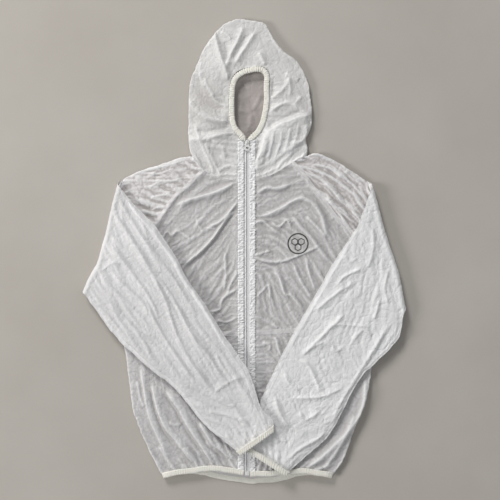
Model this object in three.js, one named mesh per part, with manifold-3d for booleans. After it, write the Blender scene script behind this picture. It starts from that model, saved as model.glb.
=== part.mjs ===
// Light hooded zip jacket, laid flat on its back with both sleeves folded over the front.
// Millimetres, +X towards the wearer's left, +Y towards the top of the hood, +Z up.
// Every fabric layer is a thin plate at its own height, seams and edges are low walls between
// the layers, and the sleeves and hood are separate groups that turn about their fold lines.
import * as THREE from 'three';
import { mergeVertices } from 'three/addons/utils/BufferGeometryUtils.js';
import Module from 'manifold-3d';

const wasm = await Module();
wasm.setup();

// ---------------------------------------------------------------- driving dimensions (mm)
const GAP = 0.3;               // clearance between neighbouring solids
const CLOTH = 0.8;             // plate thickness that stands for one fabric layer
const WALL = 3.0;              // width of a seam or edge wall
const Z_BACK = 0;              // underside of the back layer
const Z_FRONT = 12.2;          // underside of the front layer
const Z_TOP = Z_FRONT + CLOTH; // upper face of the front layer
const Z_BAG = 6.2;             // underside of the drop-in pocket bags
const Z_SLEEVE_LOW = 18.6;     // underside of a folded sleeve's lower layer
const Z_SLEEVE_HIGH = 26.4;    // underside of its upper layer
const Z_FOLD = 15.8;           // height of the sleeve and hood fold axes
const RIGHT_TILT = 1.25;       // degrees: the right sleeve climbs over the left one's cuff
const BINDING = 12.4;          // width of the elastic binding at hem and cuffs
const ZIP_X = 7.3;             // centre line of the zip
const ZIP_BAND = 6.5;          // half width of tape left bare between the fronts
const TAPE_HALF = 17;          // half width of both tapes together
const SLIT = 0.7;              // half width of the slit between the tapes
const HOOD_Y = 242.6;          // fold line of the hood
const SLIDER_Y = 232.7;        // slider centre, closed
const BADGE = [117, 17.6, 22.5];
const SHIFT = [-3.92, 0.054];  // puts the origin at the middle of the base

// ---------------------------------------------------------------- outlines (plan, mm)
const FOLD_R = [[-272.2, 139.1], [-333.5, -78.0]];
const FOLD_L = [[276.6, 147.5], [345.4, -106.2]];
const C = {
  sideR: [[-250.7, -104.9], [-256.7, -152.2], [-257.8, -200.4], [-252.8, -227.5], [-246.4, -282.7], [-239.3, -337.1], [-222.1, -385.5], [-201.2, -433.4], [-174.2, -488.3]],
  sideL: [[280.4, -115.7], [278.2, -180.2], [275.0, -248.3], [271.8, -282.7], [261.0, -330.7], [237.4, -388.7], [216.7, -446.8], [190.5, -488.3]],
  hemFrontR: [[-174.2, -488.3], [-147.5, -481.6], [-113.1, -476.0], [-85.1, -473.0], [-57.6, -472.6], [-29.2, -476.4], [7.3, -482.5]],
  hemFrontL: [[7.3, -484.6], [46.0, -483.8], [79.6, -481.2], [112.7, -477.7], [134.2, -477.7], [164.3, -482.0], [190.5, -488.3]],
  hemBack: [[-174.2, -488.3], [-136.7, -482.2], [-93.7, -483.3], [-61.5, -490.4], [-24.9, -497.9], [18.1, -502.5], [52.5, -501.4], [82.6, -497.1], [121.3, -486.8], [155.7, -484.6], [190.5, -488.3]],
  raglanR: [[-83.8, 172.4], [-113.1, 142.3], [-150.3, 107.9], [-190.5, 47.7], [-222.7, -29.7], [-250.7, -104.9]],
  raglanL: [[101.9, 189.2], [142.8, 140.2], [185.8, 84.3], [226.6, 32.7], [258.9, -40.4], [280.4, -115.7]],
  neckR: [[-112.4, 205.8], [-100.2, 188.6], [-83.8, 172.4]],
  neckFrontR: [[-83.8, 172.4], [-67.9, 163.8], [-50.7, 157.4], [-27.1, 152.7], [7.3, 150.9]],
  neckFrontL: [[7.3, 151.8], [41.7, 158.7], [72.7, 169.8], [101.9, 189.2]],
  neckL: [[101.9, 189.2], [121.3, 199.9], [137.2, 206.8]],
  neckBack: [[-83.8, 172.4], [-40, 176.5], [10, 178.5], [60, 183.0], [101.9, 189.2]],
  shoulderR: [[-112.4, 205.8], [-139.8, 200.8], [-181.0, 187.0], [-222.1, 173.3], [-259.7, 156.1], [-270.0, 142.3], [-273.5, 139.0]],
  shoulderL: [[137.2, 206.8], [151.4, 211.1], [168.6, 207.5], [185.8, 199.9], [216.7, 183.6], [250.9, 161.7], [276.9, 145.8]],
  underR: [[-344.2, -83.4], [-297, -96], [-250.7, -104.9]],
  underL: [[344.9, -104.3], [312, -108], [280.4, -115.7]],
  sleeveInR: [[-270.0, 142.3], [-229.2, 95.0], [-188.3, 53.1], [-139.8, -22.1], [-113.1, -70.5], [-78.7, -117.8], [-44.3, -173.7], [-16.3, -214.6], [7.3, -249.0], [21.3, -283.4], [35.3, -325.3], [43.9, -340.3], [62.4, -357.5], [64.5, -382.3]],
  sleeveOutR: [[-344.2, -83.4], [-298.0, -152.2], [-257.1, -199.5], [-201.2, -249.0], [-153.9, -285.5], [-119.5, -324.2], [-85.1, -368.3], [-44.3, -401.6], [-5.6, -431.7]],
  sleeveInL: [[276.9, 145.8], [250.3, 67.1], [230.9, 32.7], [189.2, -29.0], [151.4, -97.6], [114.0, -162.5], [79.6, -227.5], [52.5, -282.5], [33.1, -328.5], [18.1, -380.1], [7.3, -426.6]],
  sleeveOutL: [[344.9, -104.3], [341.9, -137.2], [336.3, -172.9], [326.4, -193.1], [275.0, -245.7], [258.9, -258.6], [230.9, -302.7], [213.7, -337.1], [196.5, -371.5], [177.2, -400.5], [149.2, -425.3], [117.0, -454.1], [89.7, -479.4]],
  hoodR: [[-112.4, 205.8], [-117.4, 221.9], [-119.5, 239.9], [-120.8, 260.6], [-119.5, 279.9], [-119.1, 312.2], [-117.8, 341.2], [-113.1, 368.1], [-105.6, 389.6], [-95.9, 415.4], [-85.1, 437.3], [-72.2, 457.5], [-57.6, 474.9], [-45.1, 486.8], [-30.1, 495.6], [-9.9, 500.9], [9.5, 498.6]],
  hoodL: [[137.2, 206.8], [137.8, 226.2], [134.2, 239.9], [140.0, 252.0], [145.8, 269.2], [147.1, 286.4], [146.2, 316.5], [142.8, 341.2], [140.2, 359.5], [134.2, 375.6], [125.6, 393.9], [114.0, 409.8], [95.5, 424.8], [79.6, 437.3], [71.0, 448.5], [65.4, 457.7], [55.9, 475.6], [47.3, 490.0], [33.1, 494.5], [18.1, 497.5], [9.5, 498.6]],
  faceIn: [[7.3, 242.9], [-0.4, 251.1], [-13.3, 267.0], [-18.5, 288.5], [-19.8, 315.4], [-18.7, 338.0], [-16.3, 358.2], [-9.9, 368.9], [-0.4, 376.0], [8.6, 380.3], [18.1, 382.9], [31.0, 384.0], [39.6, 381.8], [44.7, 374.5], [45.2, 365.9], [42.1, 356.3], [42.6, 342.3], [42.8, 328.7], [42.4, 315.4], [41.1, 302.1], [38.3, 287.5], [34.4, 272.6], [23.6, 252.0], [12.9, 242.9]],
  faceOut: [[0.0, 240.6], [-8.8, 247.2], [-24.9, 263.6], [-30.5, 286.4], [-32.2, 315.4], [-31.4, 338.0], [-29.5, 359.5], [-23.6, 375.0], [-12.9, 386.1], [-1.3, 391.7], [11.6, 394.7], [28.8, 396.5], [43.9, 394.7], [54.2, 384.4], [57.2, 368.1], [56.3, 350.9], [55.5, 328.7], [53.8, 307.9], [50.3, 289.6], [43.0, 269.2], [32.3, 252.4], [19.3, 240.6]],
  seamR: [[-57.6, 476.5], [-51.6, 449.8], [-45.6, 424.0], [-36.5, 402.5], [-24.0, 366.0]],
  seamL: [[47.7, 492.0], [55.5, 462.7], [58.1, 435.8], [55.5, 411.1], [50.0, 384.0]],
  pocketR: [[0, -172.9], [-46.4, -172.0], [-179.7, -172.9], [-262, -178.0]],
  pocketL: [[14, -169.8], [67.5, -167.3], [121.3, -164.3], [207.3, -166.0], [283, -171.6]],
  cuffR: [[64.5, -382.3], [-5.6, -431.7], [-15.8, -423.7], [63.5, -369.3]],
  cuffL: [[7.3, -426.6], [89.7, -479.4], [98.9, -470.8], [10.2, -413.9]],
};

// ---------------------------------------------------------------- colours
const cloth = (c = 0xeeeef0) => new THREE.MeshStandardMaterial({ color: c, roughness: 0.55, metalness: 0 });
const ivory = () => new THREE.MeshStandardMaterial({ color: 0xecebdd, roughness: 0.75, metalness: 0 });
const tapeMat = () => new THREE.MeshStandardMaterial({ color: 0xf1f1f1, roughness: 0.7, metalness: 0 });
const coilMat = () => new THREE.MeshStandardMaterial({ color: 0xf5f5f5, roughness: 0.4, metalness: 0 });
const enamel = () => new THREE.MeshStandardMaterial({ color: 0xf4f4f4, roughness: 0.3, metalness: 0.1 });
const ink = () => new THREE.MeshStandardMaterial({ color: 0x3c3e3c, roughness: 0.8, metalness: 0 });

// ---------------------------------------------------------------- helpers
const V2 = (p) => new THREE.Vector2(p[0], p[1]);
const smooth = (pts, per = 2) => new THREE.SplineCurve(pts.map(V2)).getPoints((pts.length - 1) * per).map((v) => [v.x, v.y]);
const rev = (a) => [...a].reverse();

function solid(geometry) {
  const g = geometry.clone();
  g.deleteAttribute('normal');
  g.deleteAttribute('uv');
  const m = mergeVertices(g, 1e-4);
  return new wasm.Manifold(new wasm.Mesh({
    numProp: 3,
    vertProperties: new Float32Array(m.attributes.position.array),
    triVerts: new Uint32Array(m.index.array),
  }));
}

function prism(poly, z0, z1) {
  const s = new THREE.Shape(poly.map(V2));
  const g = new THREE.ExtrudeGeometry(s, { depth: z1 - z0, bevelEnabled: false });
  g.translate(0, 0, z0);
  return solid(g);
}

const box = (x0, x1, y0, y1, z0, z1) => prism([[x0, y0], [x1, y0], [x1, y1], [x0, y1]], z0, z1);

// a band of the given width along an open line, lengthened at both ends by `extra`
function band(line, width, extra = 0) {
  const n = line.length;
  const pts = line.map((p) => [...p]);
  const push = (i, j) => {
    const d = [pts[i][0] - pts[j][0], pts[i][1] - pts[j][1]];
    const l = Math.hypot(...d);
    pts[i] = [pts[i][0] + d[0] / l * extra, pts[i][1] + d[1] / l * extra];
  };
  push(0, 1);
  push(n - 1, n - 2);
  const a = [], b = [];
  for (let i = 0; i < n; i++) {
    const p = pts[Math.max(i - 1, 0)], q = pts[Math.min(i + 1, n - 1)];
    const l = Math.hypot(q[0] - p[0], q[1] - p[1]);
    const m = [-(q[1] - p[1]) / l * width / 2, (q[0] - p[0]) / l * width / 2];
    a.push([pts[i][0] + m[0], pts[i][1] + m[1]]);
    b.push([pts[i][0] - m[0], pts[i][1] - m[1]]);
  }
  return [...a, ...rev(b)];
}

// a closed outline grown outwards by d
function grow(poly, d) {
  let area = 0;
  poly.forEach((p, i) => { const q = poly[(i + 1) % poly.length]; area += p[0] * q[1] - q[0] * p[1]; });
  const s = area > 0 ? 1 : -1;
  return poly.map((p, i) => {
    const a = poly[(i + poly.length - 1) % poly.length], b = poly[(i + 1) % poly.length];
    const u = [p[0] - a[0], p[1] - a[1]], v = [b[0] - p[0], b[1] - p[1]];
    const lu = Math.hypot(...u), lv = Math.hypot(...v);
    const n1 = [u[1] / lu * s, -u[0] / lu * s], n2 = [v[1] / lv * s, -v[0] / lv * s];
    const k = d / Math.max(0.4, (1 + n1[0] * n2[0] + n1[1] * n2[1]));
    return [p[0] + (n1[0] + n2[0]) * k, p[1] + (n1[1] + n2[1]) * k];
  });
}

// everything beyond a fold line, on the side away from the jacket's middle
function beyond(line, inset, side) {
  const [p, q] = line;
  const d = [q[0] - p[0], q[1] - p[1]];
  const l = Math.hypot(...d);
  const u = [d[0] / l, d[1] / l];
  const n = [side * Math.abs(u[1]), -side * u[0] * Math.sign(u[1])];
  const at = (s, t) => [p[0] + u[0] * s - n[0] * inset + n[0] * t, p[1] + u[1] * s - n[1] * inset + n[1] * t];
  return prism([at(-400, 0), at(l + 400, 0), at(l + 400, 200), at(-400, 200)], -100, 200);
}

// the cuts along neighbouring outlines can leave hairline offcuts: only the main piece is kept
function trimmed(name, tri, v, k) {
  const root = Array.from({ length: v.length / k }, (_, i) => i);
  const find = (i) => { while (root[i] !== i) { root[i] = root[root[i]]; i = root[i]; } return i; };
  for (let i = 0; i < tri.length; i += 3) {
    root[find(tri[i])] = find(tri[i + 1]);
    root[find(tri[i + 1])] = find(tri[i + 2]);
  }
  const size = new Map();
  const at = (i) => new THREE.Vector3(v[i * k], v[i * k + 1], v[i * k + 2]);
  for (let i = 0; i < tri.length; i += 3) {
    const a = at(tri[i]), r = find(tri[i]);
    const area = at(tri[i + 1]).sub(a).cross(at(tri[i + 2]).sub(a)).length() / 2;
    size.set(r, (size.get(r) ?? 0) + area);
  }
  const sorted = [...size].sort((a, b) => b[1] - a[1]);
  for (const [, area] of sorted.slice(1)) if (area > 150) throw new Error(`${name}: an offcut of ${area.toFixed(0)} mm2`);
  return tri.filter((_, i) => find(tri[i - (i % 3)]) === sorted[0][0]);
}

const parts = new THREE.Group();
function node(name, body, material, group = parts) {
  const m = body.getMesh();
  const v = m.vertProperties, k = m.numProp, t = trimmed(name, m.triVerts, v, k);
  const pos = new Float32Array(t.length * 3);
  for (let i = 0; i < t.length; i++) for (let j = 0; j < 3; j++) pos[i * 3 + j] = v[t[i] * k + j];
  const g = new THREE.BufferGeometry();
  g.setAttribute('position', new THREE.BufferAttribute(pos, 3));
  g.computeVertexNormals();
  const mesh = new THREE.Mesh(g, material);
  mesh.name = name;
  group.add(mesh);
  return mesh;
}
const cut = (body, ...tools) => tools.reduce((b, t) => b.subtract(t), body);

// ---------------------------------------------------------------- sampled curves
const K = {};
for (const [key, pts] of Object.entries(C)) K[key] = key.startsWith('cuff') || key.startsWith('under') ? pts : smooth(pts);
const outR = beyond(FOLD_R, 0.6, -1);
const outL = beyond(FOLD_L, 0.6, 1);
const zipGap = box(ZIP_X - ZIP_BAND, ZIP_X + ZIP_BAND, -600, 300, Z_FRONT - 1, Z_TOP + 4);
const aboveHood = box(-400, 400, HOOD_Y - 0.5, 700, -10, 60);
const belowHood = box(-400, 400, -700, HOOD_Y + 0.5, -10, 60);

// ---------------------------------------------------------------- walls of the torso
const wall = (line, z0, z1) => prism(band(line, WALL), z0, z1);
const room = (line, z0 = -5, z1 = 50) => prism(band(line, WALL + 2 * GAP, GAP), z0, z1);
const W = {
  side_seam_right: K.sideR, side_seam_left: K.sideL,
  shoulder_seam_right: K.shoulderR, shoulder_seam_left: K.shoulderL,
  underarm_seam_right: K.underR, underarm_seam_left: K.underL,
  hood_base_edge_right: K.hoodR.slice(0, 6), hood_base_edge_left: K.hoodL.slice(0, 6),
};
const done = [];
for (const [name, line] of Object.entries(W)) {
  let b = cut(wall(line, Z_BACK, Z_TOP), outR, outL, aboveHood);
  for (const r of done) b = b.subtract(r);
  node(name, b, cloth(0xe8e8ea));
  done.push(room(line));
}
const allWalls = done.reduce((a, b) => a.add(b));

// ---------------------------------------------------------------- torso back layer
const hemBack = [...K.hemBack, ...rev(K.hemBack.map(([x, y]) => [x, y + BINDING]))];
const hemFrontR = [...K.hemFrontR, ...rev(K.hemFrontR.map(([x, y]) => [x, y + BINDING]))];
const hemFrontL = [...K.hemFrontL, ...rev(K.hemFrontL.map(([x, y]) => [x, y + BINDING]))];
const hemRoomBack = prism(grow(hemBack, GAP), -5, 3);
const hemRoomFrontR = prism(grow(hemFrontR, GAP), Z_FRONT - 3, Z_TOP + 3);
const hemRoomFrontL = prism(grow(hemFrontL, GAP), Z_FRONT - 3, Z_TOP + 3);
const raglanGapR = prism(band(K.raglanR, 2 * GAP, 8), -5, 20);
const raglanGapL = prism(band(K.raglanL, 2 * GAP, 8), -5, 20);
const neckGapBack = prism(band([...K.neckR, ...K.neckBack.slice(1), ...K.neckL.slice(1)], 2 * GAP, 5), -5, 5);
const neckGapR = prism(band([...K.neckR, ...K.neckFrontR.slice(1)], 2 * GAP, 5), 8, 20);
const neckGapL = prism(band([...K.neckFrontL, ...K.neckL.slice(1)], 2 * GAP, 5), 8, 20);

const backPoly = [...K.raglanR, ...K.sideR.slice(1), ...K.hemBack.slice(1), ...rev(K.sideL).slice(1), ...rev(K.raglanL).slice(1), ...rev(K.neckBack).slice(1, -1)];
node('back_panel', cut(prism(backPoly, Z_BACK, Z_BACK + CLOTH), allWalls, hemRoomBack, raglanGapR, raglanGapL, neckGapBack), cloth());

const raglanPolyR = [...K.shoulderR.slice(0, -1), FOLD_R[0], FOLD_R[1], ...K.underR.slice(1), ...rev(K.raglanR).slice(1), ...rev(K.neckR).slice(1, -1)];
const raglanPolyL = [...K.shoulderL, FOLD_L[1], ...K.underL.slice(1), ...rev(K.raglanL).slice(1), ...K.neckL.slice(1, -1)];
for (const [side, poly, out, rg] of [['right', raglanPolyR, outR, raglanGapR], ['left', raglanPolyL, outL, raglanGapL]]) {
  node(`raglan_back_${side}`, cut(prism(poly, Z_BACK, Z_BACK + CLOTH), allWalls, out, rg, neckGapBack), cloth());
  node(`raglan_front_${side}`, cut(prism(poly, Z_FRONT, Z_TOP), allWalls, out, rg, neckGapR, neckGapL), cloth());
}

// ---------------------------------------------------------------- torso fronts
const frontPolyR = [...K.raglanR, ...K.sideR.slice(1), ...K.hemFrontR.slice(1), ...rev(K.neckFrontR).slice(0, -1)];
const frontPolyL = [...K.raglanL, ...K.sideL.slice(1), ...rev(K.hemFrontL).slice(1), ...K.neckFrontL.slice(0, -1)];
node('front_panel_right', cut(prism(frontPolyR, Z_FRONT, Z_TOP), allWalls, hemRoomFrontR, raglanGapR, neckGapR, zipGap), cloth());
node('front_panel_left', cut(prism(frontPolyL, Z_FRONT, Z_TOP), allWalls, hemRoomFrontL, raglanGapL, neckGapL, zipGap), cloth());

// hem binding in three lengths, the mouth of the jacket between them
node('hem_binding_back', cut(prism(hemBack, Z_BACK, Z_BACK + 1.4), allWalls), ivory());
const clearZip = box(ZIP_X - TAPE_HALF - 1, ZIP_X + TAPE_HALF + 1, -600, 300, -10, 40);
// its lower edge turns in to close the bottom of the pocket bags
const turnIn = (line) => cut(prism([...line, ...rev(line.map(([x, y]) => [x, y + 2]))], Z_BAG + 0.6 + GAP, Z_FRONT + 0.2), clearZip);
node('hem_binding_front_right', cut(prism(hemFrontR, Z_FRONT, Z_TOP + 0.4).add(turnIn(K.hemFrontR)), allWalls, zipGap), ivory());
node('hem_binding_front_left', cut(prism(hemFrontL, Z_FRONT, Z_TOP + 0.4).add(turnIn(K.hemFrontL)), allWalls, zipGap), ivory());

// drop-in pocket bags, open at the top, behind each front
const bagR = [...rev(K.pocketR), ...rev(K.hemFrontR)].map((p) => [...p]);
const bagL = [...K.pocketL, ...rev(K.hemFrontL)].map((p) => [...p]);
const torsoInside = prism(backPoly, -5, 40);
node('inner_pocket_right', cut(prism(bagR, Z_BAG, Z_BAG + 0.6).intersect(torsoInside), allWalls, clearZip), cloth(0xe6e6ea));
node('inner_pocket_left', cut(prism(bagL, Z_BAG, Z_BAG + 0.6).intersect(torsoInside), allWalls, clearZip), cloth(0xe6e6ea));

// round chest print with a honeycomb mark, a thin disc on the left front
const disc = new THREE.CylinderGeometry(BADGE[2], BADGE[2], 0.4, 40);
disc.rotateX(Math.PI / 2);
disc.translate(BADGE[0], BADGE[1], Z_TOP + GAP + 0.2);
node('chest_badge', solid(disc), ink());

// ---------------------------------------------------------------- base of the hood, fixed to the torso
const baseBack = [...K.neckR, ...K.neckBack.slice(1), ...K.neckL.slice(1), ...K.hoodL.slice(1, 8), ...rev(K.hoodR.slice(1, 8))];
const baseR = [...K.neckR, ...K.neckFrontR.slice(1), [ZIP_X, 260], ...rev(K.hoodR.slice(1, 8))];
const baseL = [...K.neckFrontL, ...K.neckL.slice(1), ...K.hoodL.slice(1, 8), [ZIP_X, 260]];
node('hood_base_back', cut(prism(baseBack, Z_BACK, Z_BACK + CLOTH), allWalls, neckGapBack, aboveHood), cloth());
node('hood_base_front_right', cut(prism(baseR, Z_FRONT, Z_TOP), allWalls, neckGapR, aboveHood, zipGap), cloth());
node('hood_base_front_left', cut(prism(baseL, Z_FRONT, Z_TOP), allWalls, neckGapL, aboveHood, zipGap), cloth());

// ---------------------------------------------------------------- zip: tapes, coils, stops, box and pin
for (const [side, s] of [['right', -1], ['left', 1]]) {
  const X = (a, b) => (s < 0 ? [ZIP_X - b, ZIP_X - a] : [ZIP_X + a, ZIP_X + b]);
  node(`zip_tape_${side}`, box(...X(SLIT, TAPE_HALF), -481, HOOD_Y - 0.6, 11.1, 11.8), tapeMat());
  node(`zip_coil_${side}`, box(...X(SLIT, 3.0), -468, 239.0, 9.4, 10.8), coilMat());
  node(`zip_top_stop_${side}`, box(...X(1.0, 3.4), 239.7, HOOD_Y - 0.6, 12.1, 13.2), enamel());
}
node('zip_insertion_pin', box(ZIP_X - 2.6, ZIP_X - 0.9, -480.5, -468.6, 9.4, 10.8), enamel());
node('zip_retainer_box', box(ZIP_X - 4.6, ZIP_X + 4.6, -480.8, -472.0, 12.1, 13.5)
  .add(box(ZIP_X - 4.6, ZIP_X + 4.6, -480.8, -472.0, 8.0, 9.1))
  .add(box(ZIP_X - 0.35, ZIP_X + 0.35, -480.4, -472.4, 9.0, 12.2)), enamel());

// slider: shield-shaped plates joined by a post in the slit, with a bridge on top
const shield = [[-5, 4.6], [-3.4, 6.4], [3.4, 6.4], [5, 4.6], [4.7, -1.5], [3.6, -6.4], [-3.6, -6.4], [-4.7, -1.5]].map(([x, y]) => [ZIP_X + x, SLIDER_Y + y]);
const arch = new THREE.Shape([[-4.4, 13.1], [-4.2, 15.8], [-3.2, 16.9], [3.2, 16.9], [4.2, 15.8], [4.4, 13.1], [3.0, 13.1], [2.9, 15.2], [2.3, 15.9], [-2.3, 15.9], [-2.9, 15.2], [-3.0, 13.1]].map(V2));
const archG = new THREE.ExtrudeGeometry(arch, { depth: 1.8, bevelEnabled: false });
archG.rotateX(Math.PI / 2);
archG.rotateZ(Math.PI / 2);
archG.translate(ZIP_X - 0.9, SLIDER_Y, 0);
node('zip_slider', prism(shield, 12.1, 13.3)
  .add(prism(shield, 7.9, 9.1))
  .add(box(ZIP_X - 0.4, ZIP_X + 0.4, SLIDER_Y - 1.5, SLIDER_Y + 5.6, 9.0, 12.2))
  .add(solid(archG)), enamel());

// pull tab: crossbar in the bridge, two arms, and a drop-shaped plate with an oval eye
const tabOuter = [[-3.2, 0.7], [3.2, 0.7], [3.2, -3.6], [4.3, -6.2], [6.0, -8.6], [6.6, -11.2], [6.0, -13.8], [4.2, -16.0], [1.6, -17.1], [-1.6, -17.1], [-4.2, -16.0], [-6.0, -13.8], [-6.6, -11.2], [-6.0, -8.6], [-4.3, -6.2], [-3.2, -3.6]];
const eye = [];
for (let i = 0; i < 20; i++) eye.push([4.0 * Math.cos(i * Math.PI / 10), -11.4 + 2.1 * Math.sin(i * Math.PI / 10)]);
const tabShape = new THREE.Shape(tabOuter.map(V2));
tabShape.holes.push(new THREE.Path([[-1.3, -0.7], [-1.3, -5.2], [1.3, -5.2], [1.3, -0.7]].map(V2)), new THREE.Path(eye.map(V2)));
const tabG = new THREE.ExtrudeGeometry(tabShape, { depth: 1.2, bevelEnabled: false });
tabG.translate(ZIP_X, SLIDER_Y, 14.3);
node('zip_pull_tab', solid(tabG), enamel());

// ---------------------------------------------------------------- hood above its fold line
const hoodPoly = [...K.hoodR, ...rev(K.hoodL).slice(1)];
const roomR = room(K.hoodR), roomL = room(K.hoodL);
node('hood_edge_right', cut(wall(K.hoodR, Z_BACK, Z_TOP), belowHood), cloth(0xe8e8ea));
node('hood_edge_left', cut(wall(K.hoodL, Z_BACK, Z_TOP), belowHood, roomR), cloth(0xe8e8ea));
node('hood_back_panel', cut(prism(hoodPoly, Z_BACK, Z_BACK + CLOTH), belowHood, roomR, roomL), cloth());
const faceRing = [...K.faceOut, ...rev(K.faceIn)];
const faceRoom = prism(grow(K.faceOut, GAP), 5, 20);
const seamGapR = prism(band(K.seamR, 2 * GAP, 6), 5, 20);
const seamGapL = prism(band(K.seamL, 2 * GAP, 6), 5, 20);
const nearest = (line, p) => line.reduce((best, q, i) => (Math.hypot(q[0] - p[0], q[1] - p[1]) < Math.hypot(line[best][0] - p[0], line[best][1] - p[1]) ? i : best), 0);
const iR = nearest(K.hoodR, C.seamR[0]), iL = nearest(K.hoodL, C.seamL[0]);
const fR = nearest(K.faceOut, C.seamR.at(-1)), fL = nearest(K.faceOut, C.seamL.at(-1));
const sideRPoly = [...K.hoodR.slice(0, iR), ...K.seamR, ...rev(K.faceOut.slice(0, fR)), [0, 206]];
const sideLPoly = [...K.hoodL.slice(0, iL), ...K.seamL, ...K.faceOut.slice(fL + 1), [19, 206]];
const midPoly = [...rev(K.seamR), ...K.hoodR.slice(iR + 1), ...rev(K.hoodL.slice(iL + 1, -1)), ...K.seamL, [12, 340]];
node('hood_side_right', cut(prism(sideRPoly, Z_FRONT, Z_TOP), belowHood, roomR, faceRoom, seamGapR, zipGap), cloth());
node('hood_side_left', cut(prism(sideLPoly, Z_FRONT, Z_TOP), belowHood, roomL, faceRoom, seamGapL, zipGap), cloth());
node('hood_centre_panel', cut(prism(midPoly, Z_FRONT, Z_TOP), roomR, roomL, faceRoom, seamGapR, seamGapL), cloth());
node('hood_face_binding', cut(prism(faceRing, Z_FRONT - 0.3, Z_TOP + 0.3), belowHood), ivory());

// ---------------------------------------------------------------- folded sleeves
function sleeve(side, inner, outer, fold, out, cuff, tilt) {
  const cuffRoom = prism(grow(cuff, GAP), -5, 60);
  const poly = [...inner, ...rev(outer), ...(side === 'right' ? [FOLD_R[1], FOLD_R[0]] : [])];
  const rIn = room(inner), rOut = room(outer);
  const z0 = Z_SLEEVE_LOW, z1 = Z_SLEEVE_HIGH + CLOTH;
  const list = [
    node(`${side}_sleeve_front`, cut(prism(poly, z0, z0 + CLOTH), out, rIn, rOut, cuffRoom), cloth()),
    node(`${side}_sleeve_back`, cut(prism(poly, Z_SLEEVE_HIGH, z1), out, rIn, rOut, cuffRoom), cloth()),
    node(`${side}_sleeve_top_edge`, cut(wall(inner, z0, z1), out, cuffRoom), cloth(0xe8e8ea)),
    node(`${side}_sleeve_underarm_seam`, cut(wall(outer, z0, z1), out, cuffRoom, rIn), cloth(0xe8e8ea)),
  ];
  const [a, b, c, d] = cuff;
  const mix = (p, q, t) => [p[0] + (q[0] - p[0]) * t, p[1] + (q[1] - p[1]) * t];
  const w = 2.2 / Math.hypot(b[0] - a[0], b[1] - a[1]);
  const front0 = mix(a, b, w), front1 = mix(a, b, 1 - w), back1 = mix(d, c, 1 - w), back0 = mix(d, c, w);
  const mouth = [mix(front0, back0, -0.6), mix(front1, back1, -0.6), mix(front1, back1, 1.6), mix(front0, back0, 1.6)];
  list.push(node(`${side}_cuff_binding`, cut(prism(cuff, z0 - 0.3, z1 + 0.3), prism(mouth, z0 + 0.7, z1 - 0.7)), ivory()));
  if (tilt) {
    const p = new THREE.Vector3(fold[0][0], fold[0][1], Z_FOLD);
    const axis = new THREE.Vector3(fold[1][0] - fold[0][0], fold[1][1] - fold[0][1], 0).normalize();
    const m = new THREE.Matrix4().makeTranslation(p.x, p.y, p.z)
      .multiply(new THREE.Matrix4().makeRotationAxis(axis, THREE.MathUtils.degToRad(tilt)))
      .multiply(new THREE.Matrix4().makeTranslation(-p.x, -p.y, -p.z));
    for (const mesh of list) mesh.geometry.applyMatrix4(m);
  }
}
sleeve('right', K.sleeveInR, K.sleeveOutR, FOLD_R, outR, K.cuffR, RIGHT_TILT);
sleeve('left', K.sleeveInL, K.sleeveOutL, FOLD_L, outL, K.cuffL, 0);

parts.position.set(SHIFT[0], SHIFT[1], 0);
export default parts;
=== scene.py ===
import math
import bpy
import numpy as np
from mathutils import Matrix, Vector
from mathutils.bvhtree import BVHTree
from mathutils.geometry import delaunay_2d_cdt


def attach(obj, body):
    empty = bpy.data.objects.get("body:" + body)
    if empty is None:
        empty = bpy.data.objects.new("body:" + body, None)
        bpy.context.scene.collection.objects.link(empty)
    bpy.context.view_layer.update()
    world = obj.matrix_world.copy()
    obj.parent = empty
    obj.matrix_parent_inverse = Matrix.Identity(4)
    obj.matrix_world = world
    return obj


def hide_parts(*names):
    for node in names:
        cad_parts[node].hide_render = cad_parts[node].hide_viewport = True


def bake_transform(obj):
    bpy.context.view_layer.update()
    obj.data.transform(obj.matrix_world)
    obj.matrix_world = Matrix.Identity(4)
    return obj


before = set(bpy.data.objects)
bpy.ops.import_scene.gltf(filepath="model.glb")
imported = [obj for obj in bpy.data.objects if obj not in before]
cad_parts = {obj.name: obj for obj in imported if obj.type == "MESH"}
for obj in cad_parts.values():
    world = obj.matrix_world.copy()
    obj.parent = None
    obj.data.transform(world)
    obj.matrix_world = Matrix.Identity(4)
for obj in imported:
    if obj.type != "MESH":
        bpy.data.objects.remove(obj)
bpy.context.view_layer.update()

MM = 0.001

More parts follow.
